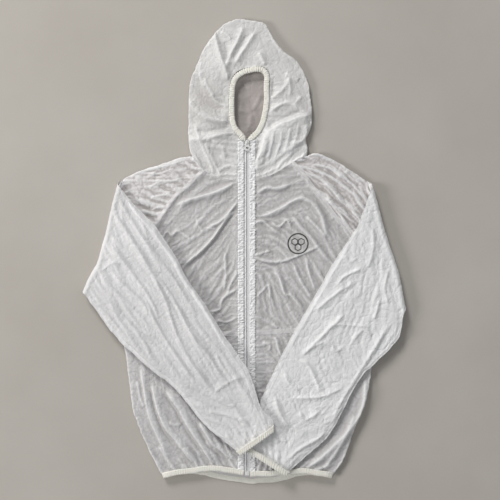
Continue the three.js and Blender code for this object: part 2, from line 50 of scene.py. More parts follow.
# ------------------------------------------------------------------ plan outlines of the panels (mm, before the frame's origin shift)
SHIFT = np.array([-3.92, 0.054])
ZX = 7.3 - 3.92                     # zip centre line
HINGE_Y = 242.654
ZFOLD = 15.8
FOLD_R = np.array([[-272.2, 139.1], [-333.5, -78.0]]) + SHIFT
FOLD_L = np.array([[276.6, 147.5], [345.4, -106.2]]) + SHIFT
C = {
    "sideR": [[-250.7, -104.9], [-256.7, -152.2], [-257.8, -200.4], [-252.8, -227.5], [-246.4, -282.7], [-239.3, -337.1], [-222.1, -385.5], [-201.2, -433.4], [-174.2, -488.3]],
    "sideL": [[280.4, -115.7], [278.2, -180.2], [275.0, -248.3], [271.8, -282.7], [261.0, -330.7], [237.4, -388.7], [216.7, -446.8], [190.5, -488.3]],
    "hemFrontR": [[-174.2, -488.3], [-147.5, -481.6], [-113.1, -476.0], [-85.1, -473.0], [-57.6, -472.6], [-29.2, -476.4], [7.3, -482.5]],
    "hemFrontL": [[7.3, -484.6], [46.0, -483.8], [79.6, -481.2], [112.7, -477.7], [134.2, -477.7], [164.3, -482.0], [190.5, -488.3]],
    "hemBack": [[-174.2, -488.3], [-136.7, -482.2], [-93.7, -483.3], [-61.5, -490.4], [-24.9, -497.9], [18.1, -502.5], [52.5, -501.4], [82.6, -497.1], [121.3, -486.8], [155.7, -484.6], [190.5, -488.3]],
    "raglanR": [[-83.8, 172.4], [-113.1, 142.3], [-150.3, 107.9], [-190.5, 47.7], [-222.7, -29.7], [-250.7, -104.9]],
    "raglanL": [[101.9, 189.2], [142.8, 140.2], [185.8, 84.3], [226.6, 32.7], [258.9, -40.4], [280.4, -115.7]],
    "neckR": [[-112.4, 205.8], [-100.2, 188.6], [-83.8, 172.4]],
    "neckFrontR": [[-83.8, 172.4], [-67.9, 163.8], [-50.7, 157.4], [-27.1, 152.7], [7.3, 150.9]],
    "neckFrontL": [[7.3, 151.8], [41.7, 158.7], [72.7, 169.8], [101.9, 189.2]],
    "neckL": [[101.9, 189.2], [121.3, 199.9], [137.2, 206.8]],
    "neckBack": [[-83.8, 172.4], [-40, 176.5], [10, 178.5], [60, 183.0], [101.9, 189.2]],
    "shoulderR": [[-112.4, 205.8], [-139.8, 200.8], [-181.0, 187.0], [-222.1, 173.3], [-259.7, 156.1], [-270.0, 142.3], [-273.5, 139.0]],
    "shoulderL": [[137.2, 206.8], [151.4, 211.1], [168.6, 207.5], [185.8, 199.9], [216.7, 183.6], [250.9, 161.7], [276.9, 145.8]],
    "underR": [[-344.2, -83.4], [-297, -96], [-250.7, -104.9]],
    "underL": [[344.9, -104.3], [312, -108], [280.4, -115.7]],
    "sleeveInR": [[-270.0, 142.3], [-229.2, 95.0], [-188.3, 53.1], [-139.8, -22.1], [-113.1, -70.5], [-78.7, -117.8], [-44.3, -173.7], [-16.3, -214.6], [7.3, -249.0], [21.3, -283.4], [35.3, -325.3], [43.9, -340.3], [62.4, -357.5], [64.5, -382.3]],
    "sleeveOutR": [[-344.2, -83.4], [-298.0, -152.2], [-257.1, -199.5], [-201.2, -249.0], [-153.9, -285.5], [-119.5, -324.2], [-85.1, -368.3], [-44.3, -401.6], [-5.6, -431.7]],
    "sleeveInL": [[276.9, 145.8], [250.3, 67.1], [230.9, 32.7], [189.2, -29.0], [151.4, -97.6], [114.0, -162.5], [79.6, -227.5], [52.5, -282.5], [33.1, -328.5], [18.1, -380.1], [7.3, -426.6]],
    "sleeveOutL": [[344.9, -104.3], [341.9, -137.2], [336.3, -172.9], [326.4, -193.1], [275.0, -245.7], [258.9, -258.6], [230.9, -302.7], [213.7, -337.1], [196.5, -371.5], [177.2, -400.5], [149.2, -425.3], [117.0, -454.1], [89.7, -479.4]],
    "hoodR": [[-112.4, 205.8], [-117.4, 221.9], [-119.5, 239.9], [-120.8, 260.6], [-119.5, 279.9], [-119.1, 312.2], [-117.8, 341.2], [-113.1, 368.1], [-105.6, 389.6], [-95.9, 415.4], [-85.1, 437.3], [-72.2, 457.5], [-57.6, 474.9], [-45.1, 486.8], [-30.1, 495.6], [-9.9, 500.9], [9.5, 498.6]],
    "hoodL": [[137.2, 206.8], [137.8, 226.2], [134.2, 239.9], [140.0, 252.0], [145.8, 269.2], [147.1, 286.4], [146.2, 316.5], [142.8, 341.2], [140.2, 359.5], [134.2, 375.6], [125.6, 393.9], [114.0, 409.8], [95.5, 424.8], [79.6, 437.3], [71.0, 448.5], [65.4, 457.7], [55.9, 475.6], [47.3, 490.0], [33.1, 494.5], [18.1, 497.5], [9.5, 498.6]],
    "faceIn": [[7.3, 242.9], [-0.4, 251.1], [-13.3, 267.0], [-18.5, 288.5], [-19.8, 315.4], [-18.7, 338.0], [-16.3, 358.2], [-9.9, 368.9], [-0.4, 376.0], [8.6, 380.3], [18.1, 382.9], [31.0, 384.0], [39.6, 381.8], [44.7, 374.5], [45.2, 365.9], [42.1, 356.3], [42.6, 342.3], [42.8, 328.7], [42.4, 315.4], [41.1, 302.1], [38.3, 287.5], [34.4, 272.6], [23.6, 252.0], [12.9, 242.9]],
    "faceOut": [[0.0, 240.6], [-8.8, 247.2], [-24.9, 263.6], [-30.5, 286.4], [-32.2, 315.4], [-31.4, 338.0], [-29.5, 359.5], [-23.6, 375.0], [-12.9, 386.1], [-1.3, 391.7], [11.6, 394.7], [28.8, 396.5], [43.9, 394.7], [54.2, 384.4], [57.2, 368.1], [56.3, 350.9], [55.5, 328.7], [53.8, 307.9], [50.3, 289.6], [43.0, 269.2], [32.3, 252.4], [19.3, 240.6]],
    "seamR": [[-57.6, 476.5], [-51.6, 449.8], [-45.6, 424.0], [-36.5, 402.5], [-24.0, 366.0]],
    "seamL": [[47.7, 492.0], [55.5, 462.7], [58.1, 435.8], [55.5, 411.1], [50.0, 384.0]],
    "pocketR": [[0, -172.9], [-46.4, -172.0], [-179.7, -172.9], [-262, -178.0]],
    "pocketL": [[14, -169.8], [67.5, -167.3], [121.3, -164.3], [207.3, -166.0], [283, -171.6]],
    "cuffR": [[64.5, -382.3], [-5.6, -431.7], [-15.8, -423.7], [63.5, -369.3]],
    "cuffL": [[7.3, -426.6], [89.7, -479.4], [98.9, -470.8], [10.2, -413.9]],
}
C = {k: np.array(v, float) + SHIFT for k, v in C.items()}

# ------------------------------------------------------------------ noise
def _h(ix, iy, seed):
    n = (ix.astype(np.int64) * 374761393 + iy.astype(np.int64) * 668265263 + seed * 2147483647 // 3) & 0xFFFFFFFF
    n = ((n ^ (n >> 13)) * 1274126177) & 0xFFFFFFFF
    n = (n ^ (n >> 16)) & 0xFFFFFFFF
    return n.astype(np.float64) / 4294967295.0


def vnoise(x, y, seed):
    """Smooth value noise, -1 to 1."""
    x, y = np.asarray(x, float), np.asarray(y, float)
    ix, iy = np.floor(x), np.floor(y)
    fx, fy = x - ix, y - iy
    ux, uy = fx * fx * fx * (fx * (fx * 6 - 15) + 10), fy * fy * fy * (fy * (fy * 6 - 15) + 10)
    a, b = _h(ix, iy, seed), _h(ix + 1, iy, seed)
    c, d = _h(ix, iy + 1, seed), _h(ix + 1, iy + 1, seed)
    return ((a + (b - a) * ux) * (1 - uy) + (c + (d - c) * ux) * uy) * 2 - 1


def fbm(x, y, seed, octaves=3):
    s, a, t = 0, 1.0, 0
    for k in range(octaves):
        s = s + a * vnoise(x * 2 ** k + 17.3 * k, y * 2 ** k - 9.1 * k, seed + k)
        t += a
        a *= 0.5
    return s / t


def ridge(x, y, seed, sharp=1.6):
    """Thin connected ridges, 0 to 1."""
    return np.clip(1 - np.abs(vnoise(x, y, seed)) * 2.2, 0, 1) ** sharp


def crumple(x, y, seed):
    """Worley cell distance: flat facets with sharp creases between them, 0 at a crease to 1."""
    ix, iy = np.floor(x), np.floor(y)
    f1 = np.full(x.shape, 9.0)
    f2 = np.full(x.shape, 9.0)
    for dx in (-1, 0, 1):
        for dy in (-1, 0, 1):
            cx, cy = ix + dx, iy + dy
            px = cx + _h(cx, cy, seed) * 0.9 + 0.05
            py = cy + _h(cx, cy, seed + 77) * 0.9 + 0.05
            d = np.hypot(x - px, y - py)
            f2 = np.where(d < f1, f1, np.minimum(f2, d))
            f1 = np.minimum(f1, d)
    return np.clip((f2 - f1) * 2.2, 0, 1)


def sstep(t):
    t = np.clip(t, 0, 1)
    return t * t * (3 - 2 * t)


def dome(t):
    """A rounded rise, 0 to 1, steep at first, as a cloth edge over air."""
    t = np.clip(t, 0, 1)
    return np.sqrt(np.clip(1 - (1 - t) ** 2, 0, 1))

# ------------------------------------------------------------------ curves
def spline(pts, n=14):
    p = np.vstack([2 * pts[0] - pts[1], pts, 2 * pts[-1] - pts[-2]])
    t = np.linspace(0, 1, n, endpoint=False)[:, None]
    out = []
    for i in range(1, len(p) - 2):
        a, b, c, d = p[i - 1], p[i], p[i + 1], p[i + 2]
        out.append(0.5 * (2 * b + (c - a) * t + (2 * a - 5 * b + 4 * c - d) * t ** 2 + (3 * b - a - 3 * c + d) * t ** 3))
    return np.vstack(out + [pts[-1][None]])


def resample(line, step):
    seg = np.linalg.norm(np.diff(line, axis=0), axis=1)
    s = np.concatenate([[0], np.cumsum(seg)])
    n = max(2, int(round(s[-1] / step)) + 1)
    t = np.linspace(0, s[-1], n)
    return np.stack([np.interp(t, s, line[:, k]) for k in range(line.shape[1])], 1)


def wavy(line, seed, amp=1.0, wave=24.0):
    """The line with small in-plane waves that fade out at its ends."""
    d = np.gradient(line, axis=0)
    d /= np.maximum(np.linalg.norm(d, axis=1, keepdims=True), 1e-9)
    n = np.stack([-d[:, 1], d[:, 0]], 1)
    s = np.concatenate([[0], np.cumsum(np.linalg.norm(np.diff(line, axis=0), axis=1))])
    fade = sstep(np.minimum(s, s[-1] - s) / 18)
    off = amp * (0.7 * vnoise(s / wave, s * 0 + 3.7, seed) + 0.45 * vnoise(s / wave * 2.3, s * 0 + 1.1, seed + 5)) * fade
    return line + n * off[:, None]


def dist_line(P, line, chunk=3000):
    """Distance from points to an open line, and the share of its length where it is nearest."""
    a, b = line[:-1, :2], line[1:, :2]
    ab = b - a
    L = np.maximum((ab ** 2).sum(1), 1e-9)
    s = np.concatenate([[0], np.cumsum(np.sqrt(L))])
    out, par = np.empty(len(P)), np.empty(len(P))
    for i in range(0, len(P), chunk):
        p = P[i:i + chunk, None, :2] - a[None]
        t = np.clip((p * ab[None]).sum(2) / L[None], 0, 1)
        d = ((p - t[..., None] * ab[None]) ** 2).sum(2)
        k = d.argmin(1)
        r = np.arange(len(k))
        out[i:i + chunk] = np.sqrt(d[r, k])
        par[i:i + chunk] = (s[k] + t[r, k] * np.sqrt(L[k])) / s[-1]
    return out, par


def inside(P, poly, chunk=4000):
    x0, y0 = poly[:, 0], poly[:, 1]
    x1, y1 = np.roll(x0, -1), np.roll(y0, -1)
    res = np.zeros(len(P), bool)
    for i in range(0, len(P), chunk):
        px, py = P[i:i + chunk, 0:1], P[i:i + chunk, 1:2]
        c = (y0 > py) != (y1 > py)
        with np.errstate(divide="ignore", invalid="ignore"):
            xi = (x1 - x0) * (py - y0) / (y1 - y0) + x0
        res[i:i + chunk] = (c & (px < xi)).sum(1) % 2 == 1
    return res

# ------------------------------------------------------------------ triangulated patches
def triangulate(loop, h, seed=1):
    """Fills a closed outline (list of open lines that meet end to end) with an even, slightly jittered net."""
    bnd, corners = [], []
    for line in loop:
        corners.append(sum(len(b) for b in bnd))
        bnd.append(line[:-1])
    B = np.vstack(bnd)
    rng = np.random.default_rng(seed)
    lo, hi = B.min(0), B.max(0)
    ys = np.arange(lo[1], hi[1], h * 0.866)
    xs = np.arange(lo[0], hi[0] + h, h)
    gx, gy = np.meshgrid(xs, ys)
    gx = gx + (np.arange(len(ys)) % 2)[:, None] * h / 2
    P = np.stack([gx.ravel(), gy.ravel()], 1)
    P += rng.uniform(-0.16, 0.16, P.shape) * h
    P = P[inside(P, B)]
    closed = np.vstack([B, B[:1]])
    d, _ = dist_line(P, closed)
    P = P[d > 0.62 * h]
    V = np.vstack([B, P])
    n = len(B)
    out = delaunay_2d_cdt([Vector(p) for p in V], [(i, (i + 1) % n) for i in range(n)], [], 1, 1e-6, False)
    W = np.array([v[:] for v in out[0]])
    T = np.array([t for t in out[2] if len(t) == 3])
    a, b, c = W[T[:, 0]], W[T[:, 1]], W[T[:, 2]]
    area = (b[:, 0] - a[:, 0]) * (c[:, 1] - a[:, 1]) - (b[:, 1] - a[:, 1]) * (c[:, 0] - a[:, 0])
    T[area < 0] = T[area < 0][:, ::-1]
    T = T[np.abs(area) > 1e-3]
    cen = (W[T[:, 0]] + W[T[:, 1]] + W[T[:, 2]]) / 3
    T = T[inside(cen, B)]
    assert len(W) == len(V), (len(W), len(V))
    return {"dom": V, "tri": T, "nb": n, "corner": np.array(corners), "area": 0.5 * np.abs(area).sum()}


def edges_of(T):
    e = np.vstack([T[:, [0, 1]], T[:, [1, 2]], T[:, [2, 0]]])
    o = np.concatenate([T[:, 2], T[:, 0], T[:, 1]])
    key = np.sort(e, 1)
    k = key[:, 0].astype(np.int64) * (T.max() + 1) + key[:, 1]
    order = np.argsort(k, kind="stable")
    k, key, o = k[order], key[order], o[order]
    first = np.concatenate([[True], k[1:] != k[:-1]])
    idx = np.flatnonzero(first)
    cnt = np.diff(np.append(idx, len(k)))
    E = key[idx]
    opp = np.full((len(E), 2), -1)
    opp[:, 0] = o[idx]
    two = cnt > 1
    opp[two, 1] = o[idx[two] + 1]
    return E, opp


def colours(E, n, seed=3, most=18):
    """Splits pairs into groups that share no vertex, so that each group can be solved at once."""
    rng = np.random.default_rng(seed)
    left = np.arange(len(E))
    out = []
    while len(left) and len(out) < most:
        pr = rng.permutation(len(left)).astype(np.int64)
        top = np.full(n, -1, np.int64)
        np.maximum.at(top, E[left, 0], pr)
        np.maximum.at(top, E[left, 1], pr)
        take = (top[E[left, 0]] == pr) & (top[E[left, 1]] == pr)
        # a second sweep fills in what the first left free
        used = np.zeros(n, bool)
        used[E[left[take]].ravel()] = True
        rest = np.flatnonzero(~take & ~used[E[left, 0]] & ~used[E[left, 1]])
        if len(rest):
            top2 = np.full(n, -1, np.int64)
            np.maximum.at(top2, E[left[rest], 0], pr[rest])
            np.maximum.at(top2, E[left[rest], 1], pr[rest])
            ok = (top2[E[left[rest], 0]] == pr[rest]) & (top2[E[left[rest], 1]] == pr[rest])
            take[rest[ok]] = True
        out.append(left[take])
        left = left[~take]
    return out


def relax(X, T, dom, stretch, pin, lo, hi, n_iter, bend=0.08, gravity=0.015, seed=3):
    """Settles cloth by position-based dynamics. stretch holds, for each vertex, the ridge direction (angle) and the
    spare cloth along and across it; lo and hi are the heights that it may not pass."""
    X = X.astype(np.float32).copy()
    E, opp = edges_of(T)
    ang, ea, ec = stretch
    def rest(P):
        d = dom[P[:, 1]] - dom[P[:, 0]]
        a = 0.5 * (ang[P[:, 0]] + ang[P[:, 1]])
        al = d[:, 0] * np.cos(a) + d[:, 1] * np.sin(a)
        ac = -d[:, 0] * np.sin(a) + d[:, 1] * np.cos(a)
        fa = 1 + 0.5 * (ea[P[:, 0]] + ea[P[:, 1]])
        fc = 1 + 0.5 * (ec[P[:, 0]] + ec[P[:, 1]])
        return np.hypot(al * fa, ac * fc).astype(np.float32)
    two = opp[:, 1] >= 0
    Bp = opp[two]
    w = np.where(pin, 0.0, 1.0).astype(np.float32)
    sets = []
    for P, k in ((E, 1.0), (Bp, bend)):
        L = rest(P)
        for c in colours(P, len(X), seed):
            i, j = P[c, 0], P[c, 1]
            ws = w[i] + w[j]
            m = ws > 0
            i, j = i[m], j[m]
            sets.append((i, j, L[c][m], (w[i] / ws[m] * k)[:, None], (w[j] / ws[m] * k)[:, None], k < 1))
    lo, hi = lo.astype(np.float32), hi.astype(np.float32)
    free = ~pin
    old = X.copy()
    for it in range(n_iter):
        v = (X - old) * 0.6
        old = X.copy()
        X[free] += v[free]
        X[free, 2] -= gravity
        for i, j, L, wi, wj, soft in sets:
            d = X[j] - X[i]
            l = np.sqrt((d * d).sum(1)) + 1e-9
            f = (l - L) / l
            if soft:
                f = np.minimum(f, 0)      # bending only resists folding
            d *= (f * 0.5 * 2)[:, None]
            X[i] += d * wi
            X[j] -= d * wj
        z = X[:, 2]
        np.clip(z, lo, hi, out=z)
    return X.astype(float)


def loop_subdivide(X, T, nb_mask, fixed):
    """One round of Loop subdivision. Boundary vertices follow the boundary only, and fixed ones stay."""
    n = len(X)
    E, opp = edges_of(T)
    key = E[:, 0].astype(np.int64) * n + E[:, 1]
    inner = opp[:, 1] >= 0
    mid = 0.5 * (X[E[:, 0]] + X[E[:, 1]])
    m2 = 0.375 * (X[E[:, 0]] + X[E[:, 1]]) + 0.125 * (X[opp[:, 0]] + X[np.maximum(opp[:, 1], 0)])
    mid = np.where(inner[:, None], m2, mid)
    val = np.bincount(E.ravel(), minlength=n)
    S = np.stack([np.bincount(E[:, 0], X[E[:, 1], k], n) + np.bincount(E[:, 1], X[E[:, 0], k], n) for k in range(X.shape[1])], 1)
    beta = np.where(val > 3, 3 / (8 * np.maximum(val, 1)), 3 / 16)
    Y = X * (1 - val * beta)[:, None] + S * beta[:, None]
    be = E[~inner]
    SB = np.stack([np.bincount(be[:, 0], X[be[:, 1], k], n) + np.bincount(be[:, 1], X[be[:, 0], k], n) for k in range(X.shape[1])], 1)
    isb = np.zeros(n, bool)
    isb[be.ravel()] = True
    Y[isb] = 0.75 * X[isb] + 0.125 * SB[isb]
    Y[fixed] = X[fixed]
    def eid(a, b):
        lo_, hi_ = np.minimum(a, b), np.maximum(a, b)
        return n + np.searchsorted(key, lo_.astype(np.int64) * n + hi_)
    a, b, c = T.T
    ab, bc, ca = eid(a, b), eid(b, c), eid(c, a)
    T2 = np.vstack([np.stack(t, 1) for t in ((a, ab, ca), (ab, b, bc), (ca, bc, c), (ab, bc, ca))])
    bmask = np.concatenate([isb, ~inner])
    fix = np.concatenate([fixed, np.zeros(len(E), bool)])
    return np.vstack([Y, mid]), T2, bmask, fix


def normals(X, T):
    f = np.cross(X[T[:, 1]] - X[T[:, 0]], X[T[:, 2]] - X[T[:, 0]])
    N = np.stack([np.bincount(T.ravel(), np.repeat(f[:, k], 3), len(X)) for k in range(3)], 1)
    return N / np.maximum(np.linalg.norm(N, axis=1, keepdims=True), 1e-12)


# ------------------------------------------------------------------ mesh helper
def new_mesh(name, verts_mm, faces, material, smooth=True):
    me = bpy.data.meshes.new(name)
    V = (np.asarray(verts_mm, float) * MM).astype(np.float32)
    if isinstance(faces, np.ndarray):
        k = faces.shape[1]
        me.vertices.add(len(V))
        me.vertices.foreach_set("co", V.ravel())
        me.loops.add(faces.size)
        me.loops.foreach_set("vertex_index", faces.astype(np.int32).ravel())
        me.polygons.add(len(faces))
        me.polygons.foreach_set("loop_start", np.arange(0, faces.size, k, dtype=np.int32))
        me.update(calc_edges=True)
    else:
        me.from_pydata([tuple(v) for v in V], [], faces)
        me.update(calc_edges=True)
    me.validate()
    me.polygons.foreach_set("use_smooth", np.full(len(me.polygons), smooth))
    ob = bpy.data.objects.new(name, me)
    bpy.context.scene.collection.objects.link(ob)
    me.materials.append(material)
    return ob

# ------------------------------------------------------------------ panel edges
H = 3.7


def G(*p):
    """Points from plan squares of 2.15 mm, counted from the top left of a 500 by 500 plan."""
    return np.array(p, float).reshape(-1, 2) * (2.15, -2.15) + (-243.6 * 2.15 - 3.92, 251.2 * 2.15 + 0.054)


FOLDS = {
    "R": G(117.6, 184.6, 114.4, 195.9, 109.9, 214.3, 105.3, 235, 101.8, 246.5, 97.2, 262.6, 89.6, 276.2, 83.5, 290.0),
    "L": G(372.4, 183.4, 379.4, 209.7, 383.4, 225.8, 390.3, 247.6, 398.4, 271.7, 404.0, 299.7),
}
RO, RI = 9.0, 2.6            # outer and inner radius of a folded sleeve
ZO, ZI = 11.0, 14.4          # heights of their centres


def seam(key, seed, amp=1.3, wave=24.0, step=None):
    return wavy(resample(spline(C[key]), step or H), seed, amp, wave)


def cross(a, b):
    """Where line a first meets line b, as (index on a, point)."""
    for i in range(len(a) - 1):
        p, r = a[i], a[i + 1] - a[i]
        q, s = b[:-1], np.diff(b, axis=0)
        den = r[0] * s[:, 1] - r[1] * s[:, 0]
        den = np.where(np.abs(den) < 1e-12, 1e-12, den)
        w = q - p
        t = (w[:, 0] * s[:, 1] - w[:, 1] * s[:, 0]) / den
        u = (w[:, 0] * r[1] - w[:, 1] * r[0]) / den
        ok = (t >= 0) & (t <= 1) & (u >= 0) & (u <= 1)
        if ok.any():
            return i, p + r * t[np.flatnonzero(ok)[0]]
    raise ValueError("the lines do not meet")


def offset(line, d):
    g = np.gradient(line, axis=0)
    g /= np.linalg.norm(g, axis=1, keepdims=True)
    return line + np.stack([-g[:, 1], g[:, 0]], 1) * d


def extend(line, d):
    a = line[0] + (line[0] - line[1]) / np.linalg.norm(line[0] - line[1]) * d
    b = line[-1] + (line[-1] - line[-2]) / np.linalg.norm(line[-1] - line[-2]) * d
    return np.vstack([a, line, b])


def between(line, p, q):
    """The part of a line between the points nearest to p and q, with p and q as its ends."""
    _, t = dist_line(np.array([p, q]), line)
    s = np.concatenate([[0], np.cumsum(np.linalg.norm(np.diff(line, axis=0), axis=1))])
    s /= s[-1]
    t0, t1 = t
    mid = line[(s > min(t0, t1) + 1e-4) & (s < max(t0, t1) - 1e-4)]
    if t0 > t1:
        mid = mid[::-1]
    return resample(np.vstack([p, mid, q]), H)


L = {k: seam(k, i * 11 + 5) for i, k in enumerate(("sideR", "sideL", "raglanR", "raglanL", "neckR", "neckL", "neckFrontR", "neckFrontL", "neckBack",
     "shoulderR", "shoulderL", "underR", "underL", "sleeveInR", "sleeveOutR", "sleeveInL", "sleeveOutL", "hoodR", "hoodL", "hemFrontR", "hemFrontL", "hemBack"))}
ZB = 6.6          # half width of the open zip band between the fronts
FOLD = {}
for k, sign in (("R", 1), ("L", -1)):
    sil = resample(spline(FOLDS[k]), H)
    base = extend(offset(sil, sign * RO), 45)
    iS, pS = cross(L["shoulder" + k][::-1], base)
    iU, pU = cross(L["under" + k], base)
    iI, pI = cross(L["sleeveIn" + k], base)
    iO, pO = cross(L["sleeveOut" + k], base)
    near = extend(offset(sil, sign * 2.6), 45)
    jS, qS = cross(L["shoulder" + k][::-1], near)
    jU, qU = cross(L["under" + k], near)
    L["shoulder" + k] = np.vstack([L["shoulder" + k][:len(L["shoulder" + k]) - 1 - jS], qS])
    L["under" + k] = np.vstack([qU, L["under" + k][jU + 1:]])
    L["sleeveIn" + k] = np.vstack([pI, L["sleeveIn" + k][iI + 1:]])
    L["sleeveOut" + k] = np.vstack([pO, L["sleeveOut" + k][iO + 1:]])
    FOLD[k] = {"base": base, "S": pS, "U": pU, "I": pI, "O": pO, "sign": sign, "body": between(base, pS, pU), "rim": between(near, qS, qU)}


def out_of(k, p, d):
    """The point d beyond the fold's base line from p."""
    base = FOLD[k]["base"]
    i = np.linalg.norm(base - p, axis=1).argmin()
    i = min(max(i, 1), len(base) - 2)
    g = base[i + 1] - base[i - 1]
    g /= np.linalg.norm(g)
    n = np.array([g[1], -g[0]]) * FOLD[k]["sign"]
    return p + n * d


def cut_x(line, x):
    """Keeps the part of a line on the side of its end that is farther from x."""
    s = np.sign(line[:, 0] - x)
    i = np.flatnonzero(s[1:] != s[:-1])
    if not len(i):
        return line
    i = i[0]
    t = (x - line[i, 0]) / (line[i + 1, 0] - line[i, 0])
    p = line[i] + (line[i + 1] - line[i]) * t
    return np.vstack([line[:i + 1], p]) if abs(line[0, 0] - x) > abs(line[-1, 0] - x) else np.vstack([p, line[i + 1:]])


NFR, NFL = cut_x(L["neckFrontR"], ZX - ZB), cut_x(L["neckFrontL"], ZX + ZB)
HFR, HFL = cut_x(L["hemFrontR"], ZX - ZB) + (0, 3.0), cut_x(L["hemFrontL"], ZX + ZB) + (0, 3.0)


def joined(*lines):
    """The lines of one outline, each begun where the last one ended."""
    out = []
    for i, l in enumerate(lines):
        l = l.copy()
        prev = lines[i - 1][-1]
        l[0] = prev
        out.append(l)
    return out


face = resample(spline((C["faceOut"])), H)
FACE_R0 = np.array([ZX - ZB, 240.0])
FACE_L0 = np.array([ZX + ZB, 240.0])
face_edge = np.vstack([FACE_R0, face[3:-3], FACE_L0])
straight = lambda a, b: resample(np.array([a, b], float), H)

LOOPS = {
    "front_right": joined(straight(HFR[-1], NFR[-1]), NFR[::-1], L["raglanR"], L["sideR"][:-1], HFR),
    "front_left": joined(straight(NFL[0], HFL[0]), HFL, L["sideL"][::-1][1:], L["raglanL"][::-1], NFL[::-1]),
    "raglan_right": joined(L["shoulderR"], FOLD["R"]["rim"], L["underR"], L["raglanR"][::-1], L["neckR"][::-1]),
    "raglan_left": joined(L["neckL"][::-1], L["raglanL"], L["underL"][::-1], FOLD["L"]["rim"][::-1], L["shoulderL"][::-1]),
    "back": joined(L["raglanR"], L["sideR"], L["hemBack"], L["sideL"][::-1], L["raglanL"][::-1], L["neckBack"][::-1]),
    "hood_front": joined(straight(NFR[-1], FACE_R0), face_edge, straight(FACE_L0, NFL[0]), NFL, L["neckL"], L["hoodL"], L["hoodR"][::-1], L["neckR"], NFR),
    "hood_back": joined(L["neckBack"], L["neckL"], L["hoodL"], L["hoodR"][::-1], L["neckR"]),
}
for k in "RL":
    f = FOLD[k]
    for layer, r in (("upper", RO), ("lower", RI)):
        w = math.pi * r
        a, b = out_of(k, f["S"], w), out_of(k, f["U"], w)
        far = resample(np.vstack([a] + [out_of(k, p, w) for p in f["body"][3:-3]] + [b]), H)
        si, so = L["sleeveIn" + k], L["sleeveOut" + k]
        LOOPS[f"{layer}_{k}"] = joined(si, straight(si[-1], so[-1]), so[::-1], straight(so[0], b), far[::-1], straight(a, si[0]))
    if k == "L":
        pass

SIL = [L[k] for k in ("sideR", "sideL", "underR", "underL", "shoulderR", "shoulderL", "hoodR", "hoodL")]


def sil_dist(P, keys):
    d = np.full(len(P), 1e9)
    for k in keys:
        d = np.minimum(d, dist_line(P, L[k])[0])
    return d


def front_z(P):
    """Resting height of the upper layer of the body and hood, before wrinkles."""
    d = sil_dist(P, ("sideR", "sideL", "underR", "underL", "shoulderR", "shoulderL", "hoodR", "hoodL"))
    y = P[:, 1]
    top = 12.0 + 0 * y
    hood = sstep((y - 190) / 60)
    dz = np.abs(P[:, 0] - ZX)
    fd = dist_line(P, face_edge)[0]
    loft = 6.0 * sstep((fd - 4) / 30) * sstep((dz - 8) / 26)
    top = top + hood * (1.0 + loft)
    top = np.where(dz < 20, 12.3 + (top - 12.3) * sstep((dz - 7) / 13), top)
    return 2.4 + (top - 2.4) * dome(d / (13 + 7 * hood))


def back_z(P):
    d = sil_dist(P, ("sideR", "sideL", "underR", "underL", "shoulderR", "shoulderL", "hoodR", "hoodL"))
    n = fbm(P[:, 0] / 46, P[:, 1] / 60, 91) * 0.9 + 1.0
    h = dist_line(P, L["hemBack"])[0]
    return np.where(h < 40, 0.95, 1.6 - 0.7 * sstep(d / 20)) + np.clip(n, 0, 3) * sstep(d / 25) * sstep((h - 8) / 25)


def sleeve_tilt(P, k):
    if k == "L":
        return 0 * P[:, 0]
    f = np.array([[-272.2, 139.1], [-333.5, -78.0]]) + SHIFT
    u = (f[1] - f[0]) / np.linalg.norm(f[1] - f[0])
    n = np.array([-u[1], u[0]])
    return np.maximum((P - f[0]) @ n, 0) * 0.0218


def fold_map(P, k, r, zc):
    """Plan points of a sleeve; those beyond the base line wrap round the fold. Returns 3-D points and the wrap mask."""
    base = FOLD[k]["base"]
    g = np.diff(base, axis=0)
    d, par = dist_line(P, base)
    s = np.concatenate([[0], np.cumsum(np.linalg.norm(g, axis=1))])
    foot = np.stack([np.interp(par * s[-1], s, base[:, j]) for j in (0, 1)], 1)
    i = np.clip(np.searchsorted(s, par * s[-1]) - 1, 0, len(g) - 1)
    n = np.stack([g[i, 1], -g[i, 0]], 1) * FOLD[k]["sign"]
    n /= np.linalg.norm(n, axis=1, keepdims=True)
    side = ((P - foot) * n).sum(1)
    wrap = side > 1e-6
    a = np.where(wrap, d / r, 0)
    X = np.zeros((len(P), 3))
    X[:, :2] = np.where(wrap[:, None], foot + n * (r * np.sin(a))[:, None], P)
    X[:, 2] = zc + r * np.cos(a)
    return X, wrap, np.where(wrap, -d, d)


def field(P, samples):
    """Ridge direction at each point from (x square, y square, degrees) samples."""
    S = np.array(samples, float)
    at = G(*S[:, :2].ravel())
    d2 = ((P[:, None, :2] - at[None]) ** 2).sum(2) + 250.0
    w = 1 / d2 ** 1.4
    th = np.radians(S[:, 2]) * 2
    return 0.5 * np.arctan2((w * np.sin(th)).sum(1), (w * np.cos(th)).sum(1))


def oriented(P, ang, seed, wave, stretch=3.2):
    """Ridges of the given wave length that run along the direction field, about -1 to 1."""
    c, s = np.cos(ang), np.sin(ang)
    # the field turns slowly, so the frame is followed through a few fixed directions and mixed
    out = np.zeros(len(P))
    wsum = np.zeros(len(P))
    for k in range(12):
        a = math.pi * k / 12
        w = np.clip(np.cos((ang - a)) ** 2, 0, 1) ** 14
        u = (P[:, 0] * math.cos(a) + P[:, 1] * math.sin(a)) / (wave * stretch)
        v = (-P[:, 0] * math.sin(a) + P[:, 1] * math.cos(a)) / wave
        v = v + 0.35 * vnoise(u * 1.3, v * 0.4, seed + 31)
        n = 1 - np.abs(vnoise(u, v, seed + k * 0)) * 2.6
        out += w * n
        wsum += w
    return out / np.maximum(wsum, 1e-6)


